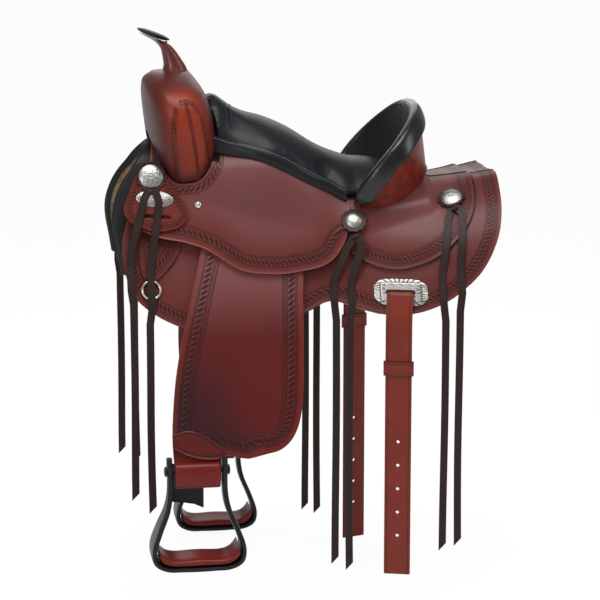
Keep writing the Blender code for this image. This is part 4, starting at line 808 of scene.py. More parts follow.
def flank_panel(name, side, inner, outer, base, thickness, columns, rows, skin, crowding=1.0):
    """Leather panel between two curves of (x, s)."""
    inners = [along(inner, k / columns) for k in range(columns + 1)]
    outers = [along(outer, k / columns) for k in range(columns + 1)]

    def place(u, v, top):
        k = round(u * columns)
        x, s = inners[k].lerp(outers[k], v**crowding)
        low = base(x, s) if callable(base) else base
        return flank(x, side * s, low + (thickness if top else 0.0))
    return sheet(name, place, columns, rows, skin)


def rim_line(side, curve, high, count=240):
    line = []
    for k in range(count + 1):
        x, s = along(curve, k / count)
        line.append(flank(x, side * s, (high(x, s) if callable(high) else high)))
    return line


# %% Fork sections, which the jockey's inner edge follows
FORK_LEVELS = [(-0.060, -0.2430, -0.166, 0.060), (0.014, -0.2480, -0.161, 0.091),
               (0.036, -0.2530, -0.156, 0.104), (0.080, -0.2620, -0.150, 0.125), (0.120, -0.2670, -0.154, 0.132),
               (0.152, -0.2705, -0.161, 0.127), (0.176, -0.2715, -0.172, 0.107),
               (0.192, -0.2680, -0.183, 0.076), (0.203, -0.2540, -0.192, 0.042)]


def fork_size(z):
    front, rear, width = (interpolate([(level[0], level[k]) for level in FORK_LEVELS], z) for k in (1, 2, 3))
    return (front + rear) / 2, (rear - front) / 2, width


def fork_section(z, count=72):
    centre, half, width = fork_size(z)
    ring = []
    for k in range(count):
        turn = 2 * math.pi * k / count
        across, out = math.cos(turn), math.sin(turn)
        ring.append(Vector((centre + half * math.copysign(abs(across) ** 0.62, across),
                            width * math.copysign(abs(out) ** 0.85, out), z)))
    return ring


def beside_fork(x, s):
    """Moves a point of the jockey's inner edge in until it lies against the fork."""
    if x > -0.152:
        return x, s
    start, goal = Vector((x, s)), Vector((-0.205, 0.030))
    low, high = 0.0, 1.0
    for _ in range(14):
        share = (low + high) / 2
        spot = start.lerp(goal, share)
        point = flank(spot.x, spot.y, jockey_base(spot.x, spot.y) + 0.002)
        centre, half, width = fork_size(point.z)
        inside = abs((point.x - centre) / half) ** (2 / 0.62) + abs(point.y / width) ** (2 / 0.85)
        if inside > 1.06:
            low = share
        else:
            high = share
    return tuple(start.lerp(goal, low))


JOCKEY_INNER = [beside_fork(*along(SEAT_JOCKEY_TOP, k / 70)) for k in range(71)]
RING_LINE = [point for point in JOCKEY_INNER if point[0] <= -0.152]
RING_LINE.append((RING_LINE[-1][0] + 0.006, RING_LINE[-1][1] - 0.034))
print("jockey's inner edge", len(RING_LINE), [round(c, 3) for c in RING_LINE[-2]])


# %% Make the panels
def make_flank_panels(side):
    name = side_name(side)
    skirt = flank_panel("skirt_leather_" + name, side, SKIRT_TOP, SKIRT_EDGE, SKIRT_BASE, 0.0045, 150, 50,
                        panel_leather, 1.5)
    mark(skirt, "edge", [rim_line(side, SKIRT_EDGE, ON_SKIRT - 0.001)])
    wear(skirt, "root", "skirt_" + name)
    jockey = flank_panel("seat_jockey_leather_" + name, side, JOCKEY_INNER, SEAT_JOCKEY_EDGE, jockey_base, 0.004,
                         140, 60, jockey_leather, 1.1)
    mark(jockey, "edge", [rim_line(side, SEAT_JOCKEY_EDGE[:-2], lambda x, s: jockey_base(x, s) + 0.004)])
    mark(jockey, "inner", [[flank(x, side * s, jockey_base(x, s) + 0.004) for x, s in RING_LINE]])
    wear(jockey, "root", "seat_jockey_" + name)
    rear = flank_panel("rear_jockey_leather_" + name, side, REAR_JOCKEY_TOP, REAR_JOCKEY_EDGE, rear_base, 0.004,
                       120, 60, rear_leather, 1.1)
    mark(rear, "edge", [rim_line(side, REAR_JOCKEY_EDGE[2:], lambda x, s: rear_base(x, s) + 0.004)])
    wear(rear, "root", "rear_jockey_" + name)
    seam = []
    for k in range(31):
        x, s = 0.215 + 0.112 * k / 30, 0.026 + 0.030 * k / 30
        seam.append(flank(x, side * s, rear_base(x, s) + 0.0044 if x < 0.284 else ON_SKIRT + 0.0006))
    wear(tube("crest_seam_" + name, seam, 0.0009, black_edge), "root")
    rigging = flank_panel("rigging_strap_" + name, side, RIGGING_FRONT, RIGGING_REAR, ON_SKIRT, 0.003, 60, 40,
                          panel_leather)
    mark(rigging, "edge", [rim_line(side, RIGGING_FRONT, ON_SKIRT), rim_line(side, RIGGING_REAR, ON_SKIRT)])
    wear(rigging, "root", "rigging_leather_" + name)
    print("panels", name, len(skirt.data.polygons), len(jockey.data.polygons))


for side in (-1, 1):
    make_flank_panels(side)

# %% [markdown]
# ## Breast plates
# A leather heart holds the breast collar: its straps go through the slot, below an engraved oval plate.
# The slot is cut with a rounded tool, as in the solid, and the border is marked afterwards so that it stays whole.

# %% Breast plates and their ovals
BREAST_SLOT = (-0.262, 0.158, 0.052, 0.007)


def slot_tool(matrix, origin, length, height, depth):
    bm = bmesh.new()
    bmesh.ops.create_cube(bm, size=1.0, matrix=Matrix.Diagonal((length, height, depth, 1.0)))
    upright = [edge for edge in bm.edges if abs((edge.verts[0].co - edge.verts[1].co).z) > depth / 2]
    soften(bm, upright, height * 0.48, 6)
    bmesh.ops.transform(bm, matrix=Matrix.Translation(origin) @ matrix, verts=bm.verts[:])
    return finish("slot_tool", bm, steel)


def cut_away(piece, tool):
    cut = piece.modifiers.new("cut", "BOOLEAN")
    cut.object = tool
    cut.solver = "EXACT"
    settle(piece)
    bpy.data.objects.remove(tool)


def engraved(name, radius, height, matrix, skin, petals=8, squash=1.0, rings=26, steps=96, rope=True):
    """Domed metal with petals cut into it; the cut lines are stored as "groove"."""
    profile = [(radius * k / rings, 0.0) for k in range(rings + 1)] + [(radius, -height * 0.3), (0.0, -height * 0.3)]
    bm = bmesh.new()
    points = [bm.verts.new((r, 0, z)) for r, z in profile]
    edges = [bm.edges.new(pair) for pair in zip(points, points[1:])]
    bmesh.ops.spin(bm, geom=points + edges, cent=(0, 0, 0), axis=(0, 0, 1), angle=2 * math.pi, steps=steps,
                   use_merge=True)
    bmesh.ops.remove_doubles(bm, verts=bm.verts[:], dist=0.000005)
    grooves = {}
    for vertex in bm.verts:
        x, y, z = vertex.co
        r, turn = math.hypot(x, y) / radius, math.atan2(y, x)
        cut = 0.0
        if z > -0.00001:
            petal = abs(math.cos(turn * petals / 2)) ** 0.7 * 0.66 + 0.10
            cut = max(cut, 1 - abs(r - petal) / 0.055) if 0.12 < r < 0.82 else cut
            cut = max(cut, 1 - abs(r - 0.86) / 0.035, 1 - abs(r - 0.14) / 0.05)
            rays = abs(math.sin(turn * petals * 2.5))
            cut = max(cut, (0.75 - rays) * (petal + 0.03 < r < 0.84))
            if rope and r > 0.88:
                cut = max(cut, 0.9 * (math.sin(turn * 36 + r * 30) > 0.55))
            cut = min(max(cut, 0.0), 1.0)
            vertex.co.z = height * max(0.0, 1 - r**2.2) ** 0.75 - 0.00045 * cut
        vertex.co.y *= squash
        grooves[vertex.index] = cut
    bm.verts.index_update()
    values = [0.0] * len(bm.verts)
    for vertex in bm.verts:
        values[vertex.index] = grooves[vertex.index] if vertex.index in grooves else 0.0
    bmesh.ops.transform(bm, matrix=matrix, verts=bm.verts[:])
    piece = finish(name, bm, skin, 50)
    piece.data.attributes.new("groove", "FLOAT", "POINT").data.foreach_set("value", values)
    return piece


def make_breast(side):
    name = side_name(side)
    plate = flank_panel("breast_leather_" + name, side, PLATE_FRONT, PLATE_REAR, ON_JOCKEY, 0.004, 60, 60,
                        breast_leather)
    x, s, length, height = BREAST_SLOT
    matrix, origin = flank_frame(x, side * s, ON_JOCKEY + 0.002)
    cut_away(plate, slot_tool(matrix, origin, length, height, 0.030))
    bottom = [PLATE_FRONT[-1], PLATE_REAR[-1]]
    mark(plate, "edge", [rim_line(side, curve, PLATE_TOP, 80) for curve in (PLATE_FRONT, PLATE_REAR, bottom)])
    wear(plate, "root", "breast_plate_" + name)
    matrix, origin = flank_frame(-0.262, side * 0.128, PLATE_TOP + 0.0003)
    oval = engraved("breast_oval_" + name, 0.031, 0.0029, Matrix.Translation(origin) @ matrix
                    @ Matrix.Translation((0, 0, 0.0009)), silver, petals=6, squash=0.45)
    wear(oval, "root", "breast_concho_" + name)


for side in (-1, 1):
    make_breast(side)
print("breast plates cut")

# %% [markdown]
# ## Conchos and rosettes
# A concho is a domed silver disc with engraved petals, and it sits on a leather rosette with a scalloped edge.
# Below each one the thong comes out from under a small knot.

# %% Conchos
def rosette(name, radius, thickness, scallops, matrix):
    bm = bmesh.new()
    bmesh.ops.create_circle(bm, cap_ends=True, segments=scallops * 10, radius=radius)
    for vertex in bm.verts:
        turn = math.atan2(vertex.co.y, vertex.co.x)
        vertex.co.xy *= 0.89 + 0.11 * abs(math.cos(turn * scallops / 2)) ** 0.5
    grown = bmesh.ops.extrude_face_region(bm, geom=bm.faces[:])["geom"]
    raised = [item for item in grown if isinstance(item, bmesh.types.BMVert)]
    bmesh.ops.translate(bm, verts=raised, vec=(0, 0, thickness))
    top = [face for face in bm.faces if all(vertex in raised for vertex in face.verts)]
    bmesh.ops.inset_region(bm, faces=top, thickness=radius * 0.10, depth=-thickness * 0.25)
    bmesh.ops.transform(bm, matrix=matrix, verts=bm.verts[:])
    return finish(name, bm, rosette_leather, 50)


def knot(name, matrix):
    bm = bmesh.new()
    bmesh.ops.create_uvsphere(bm, u_segments=20, v_segments=12, radius=1.0)
    for vertex in bm.verts:
        vertex.co = Vector((vertex.co.x * 0.0072, vertex.co.y * 0.0042, vertex.co.z * 0.0022))
        vertex.co.z *= 1 + 0.25 * math.cos(vertex.co.x * 900)
    bmesh.ops.transform(bm, matrix=matrix, verts=bm.verts[:])
    return finish(name, bm, thong_leather, 60)


def make_conchos(side):
    for place, spot, top, disc, leaf in (("front", FRONT_CONCHO, PLATE_TOP, 0.0200, 0.0250),
                                         ("seat", SEAT_CONCHO, ON_JOCKEY - 0.001, 0.0138, 0.0215),
                                         ("rear", REAR_CONCHO, rear_base(*REAR_CONCHO) + 0.0052, 0.0182, 0.0238)):
        matrix, origin = flank_frame(spot[0], side * spot[1], top + 0.0003)
        frame_here = Matrix.Translation(origin) @ matrix
        node = f"{place}_concho_{side_name(side)}"
        wear(rosette(f"{place}_rosette_{side_name(side)}", leaf, 0.0026, 12, frame_here), "root", node)
        dome = engraved(f"{place}_silver_{side_name(side)}", disc, 0.0040, frame_here
                        @ Matrix.Translation((0, 0, 0.0030)), silver)
        wear(dome, "root", node)
        low_matrix, low = flank_frame(spot[0], side * (spot[1] + leaf + 0.0015), top + 0.0056)
        wear(knot(f"{place}_knot_{side_name(side)}", Matrix.Translation(low) @ low_matrix), "root", node)


for side in (-1, 1):
    make_conchos(side)
print("conchos", 6)

# %% [markdown]
# ## Fork and horn
# The fork is a block covered with wet leather that was drawn tight and laced along one seam.
# It is lofted through rounded sections, and its foot is pressed down onto the pad it stands on.
# The seam, the arch tooled round it and the lacing are placed from the photograph and mirrored.

# %% Fork
def pad_height(x, y):
    """Height of the pad's upper surface at a point, found by halving the range of s."""
    low, high = 0.0, 0.30
    for _ in range(22):
        s = (low + high) / 2
        if flank(x, s, PAD_TOP + 0.95 * seat_rise(x, s)).y < abs(y):
            low = s
        else:
            high = s
    return flank(x, low, PAD_TOP + 0.95 * seat_rise(x, low)).z


def make_fork():
    heights = [-0.060 + 0.263 * (k / 54) ** 0.9 for k in range(55)]
    rings = [fork_section(z) for z in heights]
    centre = sum(rings[-1], Vector()) / len(rings[-1])
    for share in (0.8, 0.5, 0.2):
        rings.append([centre + (point - centre) * share + Vector((0, 0, 0.0022 * (1 - share * share)))
                      for point in rings[54]])
    foot = [None] * 72
    for ring in rings:
        for k, point in enumerate(ring):
            low = pad_height(point.x, point.y) + 0.0009
            if point.z >= low and not foot[k]:
                foot[k] = point.copy()
            point.z = max(point.z, low)
    return loft("fork_leather_cover", rings, fork_leather, 60), foot + foot[:1]


fork, fork_foot = make_fork()


def seen_on(piece, pixel):
    """Point of a piece under a pixel of the photograph, and its normal."""
    hit, place, normal, _ = piece.ray_cast(camera.location, photo_ray(pixel))
    return (place, normal) if hit else None


def traced(piece, pixels, count, side=-1):
    """A smooth line on a piece through pixels of the photograph; for the far side it is mirrored."""
    line = []
    for k in range(count + 1):
        found = seen_on(piece, along(pixels, k / count))
        if not found:
            continue
        place, normal = found
        if side > 0:
            place, normal = place * Vector((1, -1, 1)), normal * Vector((1, -1, 1))
            _, place, normal, _ = piece.closest_point_on_mesh(place)
        line.append((place.copy(), normal.copy()))
    return line


def threads(name, line, pitch, length, radius, slant, skin, lift=0.0003):
    """Row of raised stitches along a line of (point, normal)."""
    bm = bmesh.new()
    carried = 0.0
    for (a, normal), (b, _) in zip(line, line[1:]):
        gap = (b - a).length
        while carried < gap:
            spot = a.lerp(b, carried / gap)
            forward = (b - a).normalized()
            lean = (forward + forward.cross(normal) * slant).normalized()
            turn = Matrix((lean, normal.cross(lean), normal)).transposed().to_4x4()
            grown = bmesh.ops.create_icosphere(bm, subdivisions=1, radius=1.0,
                                               matrix=Matrix.Translation(spot + normal * lift) @ turn
                                               @ Matrix.Diagonal((length / 2, radius, radius, 1.0)))
            carried += pitch
        carried -= gap
    return finish(name, bm, skin, 80)


lace_leather = leather("lace_leather", (0.120, 0.020, 0.014), (0.040, 0.009, 0.008), roughness=0.4)
SEAM = [(186, 104), (191, 125), (196, 155), (199, 183)]
ARCH = [(178, 186), (175, 150), (174, 122), (178, 106), (184, 101), (192, 104), (201, 118), (207, 145), (211, 176)]
arches = [[point for point, _ in traced(fork, ARCH, 60, side)] for side in (-1, 1)]
seams = {side: traced(fork, SEAM, 60, side) for side in (-1, 1)}
mark(fork, "arch", arches)
# The seam distance draws the seam line and the painted highlight round it; the foot distance drives a painted shade.
mark(fork, "seam", [[point for point, _ in seam] for seam in seams.values()])
mark(fork, "foot", [fork_foot])
wear(fork, "root", "fork_cover")
for side, seam in seams.items():
    for k, slant in enumerate((1.1, -1.1)):
        wear(threads(f"fork_lacing_{side_name(side)}_{k}", seam, 0.0056, 0.0092, 0.0011, slant, lace_leather), "root")
print("fork", len(fork.data.polygons))

# %% Horn
HORN = [(-0.2150, 0.2034, 0.0215, 0.0195), (-0.2155, 0.2120, 0.0190, 0.0165), (-0.2200, 0.2250, 0.0160, 0.0140),
        (-0.2265, 0.2395, 0.0132, 0.0125), (-0.2345, 0.2490, 0.0140, 0.0135), (-0.2440, 0.2553, 0.0175, 0.0170),
        (-0.2530, 0.2602, 0.0245, 0.0230)]


def make_horn():
    rings = []
    for k in range(31):
        share = k / 30
        x, z, radius_x, radius_y = along(HORN, share)
        tilt = Matrix.Rotation(math.radians(20) * share, 3, "Y")
        rings.append([tilt @ Vector((radius_x * math.cos(a), radius_y * math.sin(a), 0)) + Vector((x, 0, z))
                      for a in (2 * math.pi * c / 48 for c in range(48))])
    neck = loft("horn_neck_leather", rings, fork_leather_plain, 60)
    wear(neck, "root", "horn_neck")
    lean = Matrix.Translation((-0.2510, 0.0, 0.2655)) @ Matrix.Rotation(math.radians(20), 4, "Y")
    radius, half = 0.0285, 0.0045
    profile = [(0.0, half), (radius * 0.3, half * 0.98), (radius * 0.62, half * 0.88), (radius * 0.85, half * 0.60),
               (radius * 0.95, half * 0.32), (radius, 0.0), (radius * 0.96, -half * 0.35), (radius * 0.85, -half * 0.66),
               (radius * 0.62, -half * 0.95), (0.0, -half)]
    cap = turned("horn_cap_leather", profile, 64, lean, black_seat, 60)
    wear(cap, "root", "horn_cap")
    lace = [(lean @ Vector((radius * 0.985 * math.cos(a), radius * 0.985 * math.sin(a), 0)),
             (lean.to_3x3() @ Vector((math.cos(a), math.sin(a), 0))).normalized())
            for a in (2 * math.pi * k / 72 for k in range(73))]
    wear(threads("horn_cap_lacing", lace, 0.0046, 0.0050, 0.0006, 1.0, black_edge, 0.0), "root")


fork_leather_plain = leather("horn_leather", (0.150, 0.016, 0.013), (0.055, 0.009, 0.010), roughness=0.30, coat=0.4,
                              gloss=0.45)
make_horn()
print("horn made")

# %% [markdown]
# ## Seat
# The seat is a padded cushion under black leather, so it is blown up with Blender's cloth: a closed body, slightly
# too thin, swells under a little air pressure while its underside is held. The panels' borders are sewn on after.

# %% Seat cushion
SEAT_HALF_WIDTHS = [(-0.168, 0.048), (-0.120, 0.056), (-0.070, 0.064), (-0.020, 0.070),
                    (0.030, 0.074), (0.066, 0.086), (0.100, 0.082), (0.130, 0.062), (0.150, 0.030)]
SEAT_CROWNS = [(-0.168, 0.075), (-0.145, 0.060), (-0.120, 0.040), (-0.090, 0.027), (-0.020, 0.025),
               (0.070, 0.026), (0.150, 0.022)]
CANTLE_RIM = [(0.203, 0.000, 0.140), (0.199, 0.052, 0.136), (0.183, 0.104, 0.119), (0.150, 0.142, 0.085),
              (0.114, 0.150, 0.046), (0.087, 0.138, 0.008), (0.079, 0.128, -0.013)]
CANTLE_FOOT = [(0.222, 0.000), (0.215, 0.036), (0.188, 0.078), (0.146, 0.103), (0.088, 0.100)]


def cantle_point(u, v, depth):
    """Point of the cantle wall: u from -1 to 1 round it, v from foot to rim, depth towards the seat."""
    x, s = along(CANTLE_FOOT, abs(u))
    foot = flank(x, math.copysign(s, u), seat_floor(x, s))
    rx, ry, rz = along(CANTLE_RIM, abs(u))
    outside = foot.lerp(Vector((rx, math.copysign(ry, u), rz)), v)
    inward = Vector((0.060, 0.0, outside.z)) - outside
    inward.z = 0.0
    return outside + inward.normalized() * depth


def dish_depth(u, v):
    spread = 0.010 + 0.046 * (1 - max(v, 0.0)) ** 2.0
    return 0.0146 + spread * (1 - 0.45 * abs(u) ** 3)


def swell(piece, pinned, pressure, cap):
    """Blows a closed mesh up a little, holding the pinned points."""
    before = [vertex.co.copy() for vertex in piece.data.vertices]
    group = piece.vertex_groups.new(name="held")
    group.add([k for k, point in enumerate(before) if pinned(point)], 1.0, "REPLACE")
    cloth = piece.modifiers.new("air", "CLOTH")
    cloth.settings.quality = 5
    cloth.settings.use_pressure = True
    cloth.settings.uniform_pressure_force = pressure
    cloth.settings.effector_weights.gravity = 0
    cloth.settings.vertex_group_mass = "held"
    for number in range(1, 21):
        bpy.context.scene.frame_set(number)
    settle(piece)
    for vertex, start in zip(piece.data.vertices, before):
        step = vertex.co - start
        if step.length > cap:
            vertex.co = start + step * (cap / step.length)
    bpy.context.scene.frame_set(1)


def make_seat():
    thin = 0.0025

    def place(u, v, top):
        x = -0.168 + 0.318 * u
        share = 2 * v - 1
        s = share * (interpolate(SEAT_HALF_WIDTHS, x) - thin)
        t = seat_floor(x, s) + 0.001
        if top:
            crown = interpolate(SEAT_CROWNS, x) - 0.006 - thin
            t += 0.006 + crown * (1 - abs(share) ** 2.4) ** 0.8
        return flank(x, s, t)
    seat = sheet("seat_leather", place, 90, 60, black_seat, 0.0)
    envelope = loft("fork_tool", [[Vector((p.x * 1.0, p.y, p.z)) + (p - Vector((-0.21, 0, p.z))).normalized() * 0.0012
                                   for p in fork_section(-0.06 + 0.263 * k / 24)] for k in range(25)], steel)
    cut_away(seat, envelope)

    def dish_place(u, v, front):
        u = 1.04 * (2 * u - 1)
        limit = max(min(u, 1.0), -1.0)
        v = 1.16 * v - 0.16
        point = cantle_point(limit, v * 0.92, dish_depth(limit, v) + 0.0015 if front else -0.010)
        point.x -= abs(u - limit) * 0.25
        point.y += (u - limit) * 0.10
        return point
    cut_away(seat, sheet("dish_tool", dish_place, 60, 24, steel, 0.0))
    mesher = seat.modifiers.new("even", "REMESH")
    mesher.mode = "VOXEL"
    mesher.voxel_size = 0.005
    settle(seat)
    swell(seat, lambda p: p.z < pad_height(p.x, p.y) + 0.0065, 4.0, 0.006)
    rounder = seat.modifiers.new("smooth", "SUBSURF")
    rounder.levels = rounder.render_levels = 1
    settle(seat)
    calmer = seat.modifiers.new("calm", "SMOOTH")
    calmer.factor, calmer.iterations = 0.5, 5
    settle(seat)
    seat.data.materials.clear()
    seat.data.materials.append(black_seat)
    seat.data.shade_smooth()
    return seat


seat = make_seat()
wear(seat, "root", "seat_cushion")
dark_thread = plain("dark_thread", (0.080, 0.085, 0.100), 0.5, depth=0.0001)
black_band = leather("black_band", (0.0085, 0.0095, 0.0125), (0.0045, 0.0050, 0.0070), roughness=0.40, pores=800.0,
                     pore_depth=0.00010, stitches=[("edge", 0.0036)], thread=(0.19, 0.20, 0.22))


def make_seat_band(side):
    """Stitched leather band that holds the cushion's lower edge down on the jockey."""
    rings, upper = [], []
    for k in range(81):
        x = -0.1665 + 0.2300 * k / 80
        half = interpolate(SEAT_HALF_WIDTHS, x)
        crown = interpolate(SEAT_CROWNS, x) - 0.006

        def point(share, lift, drop=None):
            s = half * share
            rise = lift + (0.006 + crown * max(0.0, 1 - min(share, 1.0) ** 2.4) ** 0.8 if drop is None else drop)
            return flank(x, side * s, seat_floor(x, s) + 0.001 + rise)
        rings.append([point(0.88, 0.0010), point(0.92, 0.0022), point(0.96, 0.0026), point(0.99, 0.0022),
                      point(1.012, 0.0, 0.0060), point(1.024, 0.0, 0.0040), point(1.028, 0.0, 0.0004),
                      point(0.98, 0.0, 0.0004), point(0.93, 0.0, 0.006), point(0.90, 0.0005)])
        upper.append(rings[-1][0])
    band = loft("seat_band_" + side_name(side), rings, black_band, 60)
    mark(band, "edge", [upper])
    wear(band, "root", "seat_cushion")


for side in (-1, 1):
    make_seat_band(side)
FRONT_BORDER = [(224, 98), (226, 115), (228, 135), (227, 157)]
for side in (-1, 1):
    for k, pixels in enumerate((FRONT_BORDER, [(x + 5, y) for x, y in FRONT_BORDER])):
        line = traced(seat, pixels, 60, side)
        if len(line) > 4:
            wear(threads(f"seat_stitches_{side_name(side)}_{k}", line, 0.0042, 0.0032, 0.0007, 0.0, dark_thread, 0.0003),
                 "root")
        print("seat stitches", side, k, len(line))

# %% [markdown]
# ## Cantle
# Behind the rider stands the cantle: a concave padded dish in front, a broad glossy roll along its rim and a
# red leather back. The three follow the same wall, at different depths.

# %% Cantle
def wall(name, near, far, skin, columns, rows, reach=0.90, bevel=0.0011):
    def place(u, v, front):
        u = 2 * u - 1
        v = 1.08 * v - 0.08
        depth = far(u, v) if front and callable(far) else (far if front else near)
        point = cantle_point(u, v * reach, depth)
        point.z = max(point.z, pad_height(point.x, point.y) + 0.0085)
        return point
    return sheet(name, place, columns, rows, skin, bevel)


def make_roll():
    """The roll wraps the rim: over the top from the dish's seam, and a little way down the back."""
    rings, seam = [], []
    for k in range(161):
        u = 2 * k / 160 - 1
        centre = cantle_point(u, 1.0, 0.008)
        tangent = (cantle_point(min(u + 0.01, 1), 1.0, 0.008) - cantle_point(max(u - 0.01, -1), 1.0, 0.008)).normalized()
        inward = (Vector((0.060, 0.0, centre.z)) - centre).normalized()
        up = tangent.cross(inward).normalized()
        inward = up.cross(tangent)
        taper = 0.12 + 0.88 * math.sqrt(1 - (1 - min(1.0, (1 - abs(u)) / 0.07)) ** 2)
        ring = []
        for c in range(36):
            a = 2 * math.pi * c / 36
            out = max(0.0, -math.cos(a))
            ring.append(centre + (inward * (math.cos(a) * 0.0138 - 0.0028)
                                  + up * (math.sin(a) * 0.0086 - 0.0170 * out**1.6)) * taper)
        rings.append(ring)
        normal = (inward * 0.55 + up * 0.83).normalized()
        seam.append((centre + (inward * 0.0086 + up * 0.0048) * taper, normal))
    roll = loft("cantle_roll_leather", rings, black_gloss, 60)
    wear(roll, "root", "cantle_roll")
    wear(threads("cantle_seam", seam, 0.0044, 0.0034, 0.0007, 0.0, dark_thread, 0.0004), "root")


def make_cantle():
    back = wall("cantle_back_leather", 0.0, 0.003, mottled_leather, 120, 40, 0.93)
    # The distance from the back's foot drives the painted shade there.
    mark(back, "back", [[cantle_point(2 * k / 60 - 1, -0.04, 0.0) for k in range(61)]])
    wear(back, "root", "cantle_back")
    wear(wall("cantle_core", 0.0043, 0.0133, resin, 90, 30, 0.92), "root", "cantle_insert")
    dish = wall("cantle_dish_leather", 0.0146, dish_depth, black_dish, 120, 50, 1.0)
    wear(dish, "root", "cantle_dish")
    make_roll()


make_cantle()
print("cantle made")

# %% [markdown]
# ## Fenders and stirrup leathers
# The fender protects the rider's leg from the stirrup leather behind it, and both hang from a ring by a loop.
# Below it the bright leather wraps the stirrup's bolt, and a black flap hides the wrap's end.

# %% Fenders
FENDER_FRONT = [(-0.172, 0.010), (-0.180, 0.022), (-0.184, 0.034), (-0.188, 0.048), (-0.214, 0.150),
                (-0.238, 0.253), (-0.249, 0.340), (-0.250, 0.384)]
FENDER_REAR = [(-0.128, 0.010), (-0.110, 0.022), (-0.055, 0.036), (-0.021, 0.072), (-0.021, 0.140),
               (-0.026, 0.240), (-0.032, 0.312), (-0.041, 0.350), (-0.056, 0.376), (-0.078, 0.391), (-0.106, 0.394)]
LEATHER_FRONT = [(-0.167, 0.0145), (-0.190, 0.100), (-0.226, 0.280), (-0.2485, 0.355)]
LEATHER_REAR = [(-0.133, 0.0145), (-0.132, 0.100), (-0.154, 0.280), (-0.1735, 0.355)]
BOLT_X, BOLT_DROP, FAR_LET_DOWN = -0.212, 0.4165, 0.1155


def bolt_centre(side):
    drop = FAR_LET_DOWN if side > 0 else 0.0
    return fender_plane(side, BOLT_X, BOLT_DROP + drop, ON_SKIRT + 0.0041 / 2)


def fender_foot(u, v):
    """The fender's lower edge dips towards its rounded rear corner."""
    return ease((u - 0.80) / 0.20) * level([(0.0, 0.0), (0.30, 0.002), (0.52, -0.002), (0.72, 0.007), (0.86, 0.009),
                                            (1.0, 0.0)], v)


def plane_panel(name, side, front, rear, base, thickness, columns, rows, skin, foot=lambda u, v: 0.0):
    fronts = [along(front, k / columns) for k in range(columns + 1)]
    rears = [along(rear, k / columns) for k in range(columns + 1)]

    def place(u, v, top):
        k = round(u * columns)
        x, d = fronts[k].lerp(rears[k], v)
        return fender_plane(side, x, d + foot(u, v), base + (thickness if top else 0.0))
    return sheet(name, place, columns, rows, skin)


def plane_line(side, curve, high, count=160):
    return [fender_plane(side, *along(curve, k / count), high) for k in range(count + 1)]


def shade_corner(fender, side):
    """Stores how deep in the lower front corner each point lies, for the painted shade there."""
    mesh = fender.data
    corner = fender_plane(side, -0.245, 0.36, 0.0)
    values = [1 - ease(((vertex.co - corner).length - 0.03) / 0.16) for vertex in mesh.vertices]
    mesh.attributes.new("corner_shade", "FLOAT", "POINT").data.foreach_set("value", values)


def make_fender(side):
    name = side_name(side)
    body = "fender_" + name
    top = FENDER_BASE + 0.004
    fender = plane_panel("fender_leather_" + name, side, FENDER_FRONT, FENDER_REAR, FENDER_BASE, 0.004, 150, 90,
                         fender_leather, fender_foot)
    low_front, low_rear = Vector(FENDER_FRONT[-1]), Vector(FENDER_REAR[-1])
    bottom = [low_front.lerp(low_rear, k / 24) + Vector((0, fender_foot(1.0, k / 24))) for k in range(25)]
    mark(fender, "edge", [plane_line(side, FENDER_FRONT, top), plane_line(side, bottom, top, 60),
                          plane_line(side, FENDER_REAR[::-1], top)])
    # The distance from the fender's top drives its painted highlight.
    mark(fender, "drop", [plane_line(side, [(-0.30, 0.0), (0.02, 0.0)], top, 4)])
    shade_corner(fender, side)
    wear(fender, body, body)
    drop = FAR_LET_DOWN if side > 0 else 0.0
    front = LEATHER_FRONT + [(LEATHER_FRONT[-1][0], BOLT_DROP + drop)]
    rear = LEATHER_REAR + [(LEATHER_REAR[-1][0], BOLT_DROP + drop)]
    strap = plane_panel("stirrup_strap_" + name, side, front, rear, ON_SKIRT, 0.0041, 90, 24, wrap_leather)
    mark(strap, "edge", [plane_line(side, front, ON_SKIRT + 0.004), plane_line(side, rear, ON_SKIRT + 0.004)])
    wear(strap, body, "stirrup_leather_" + name)
    centre = bolt_centre(side)
    half = (LEATHER_REAR[-1][0] - LEATHER_FRONT[-1][0]) / 2
    rings = []
    for offset, shrink in ((-half, 0.0016), (-half + 0.0012, 0.0004), (-half + 0.003, 0.0), (half - 0.003, 0.0),
                           (half - 0.0012, 0.0004), (half, 0.0016)):
        ring = []
        for c in range(44):
            turn = 2 * math.pi * c / 44
            y = math.copysign(abs(math.cos(turn)) ** 0.75, math.cos(turn)) * (0.0148 - shrink)
            z = -0.0075 + math.copysign(abs(math.sin(turn)) ** 0.75, math.sin(turn)) * (0.0215 - shrink)
            ring.append(centre + Vector((offset, y, z)))
        rings.append(ring)
    wrap = loft("bolt_wrap_" + name, rings, wrap_leather, 50)
    mark(wrap, "edge", [rings[0] + rings[0][:1], rings[-1] + rings[-1][:1]])
    wear(wrap, body, "stirrup_leather_" + name)
    make_patch(side, name, body, top)
    make_hobble(side, name, body, centre)
    matrix = plane_matrix(side, RING_X, 0.0, (ON_SKIRT + JOCKEY_BASE) / 2 - 0.0003)
    wear(ring_piece("fender_ring_" + name, 0.016, 0.0022, matrix, steel, 48, 14), body, "stirrup_ring_" + name)


def plane_matrix(side, x, d, t):
    origin = fender_plane(side, x, d, t)
    rear = (fender_plane(side, x + 0.01, d, t) - origin).normalized()
    down = (fender_plane(side, x, d + 0.01, t) - origin).normalized()
    out = (fender_plane(side, x, d, t + 0.01) - origin).normalized()
    return Matrix.Translation(origin) @ Matrix((rear, down, out)).transposed().to_4x4()


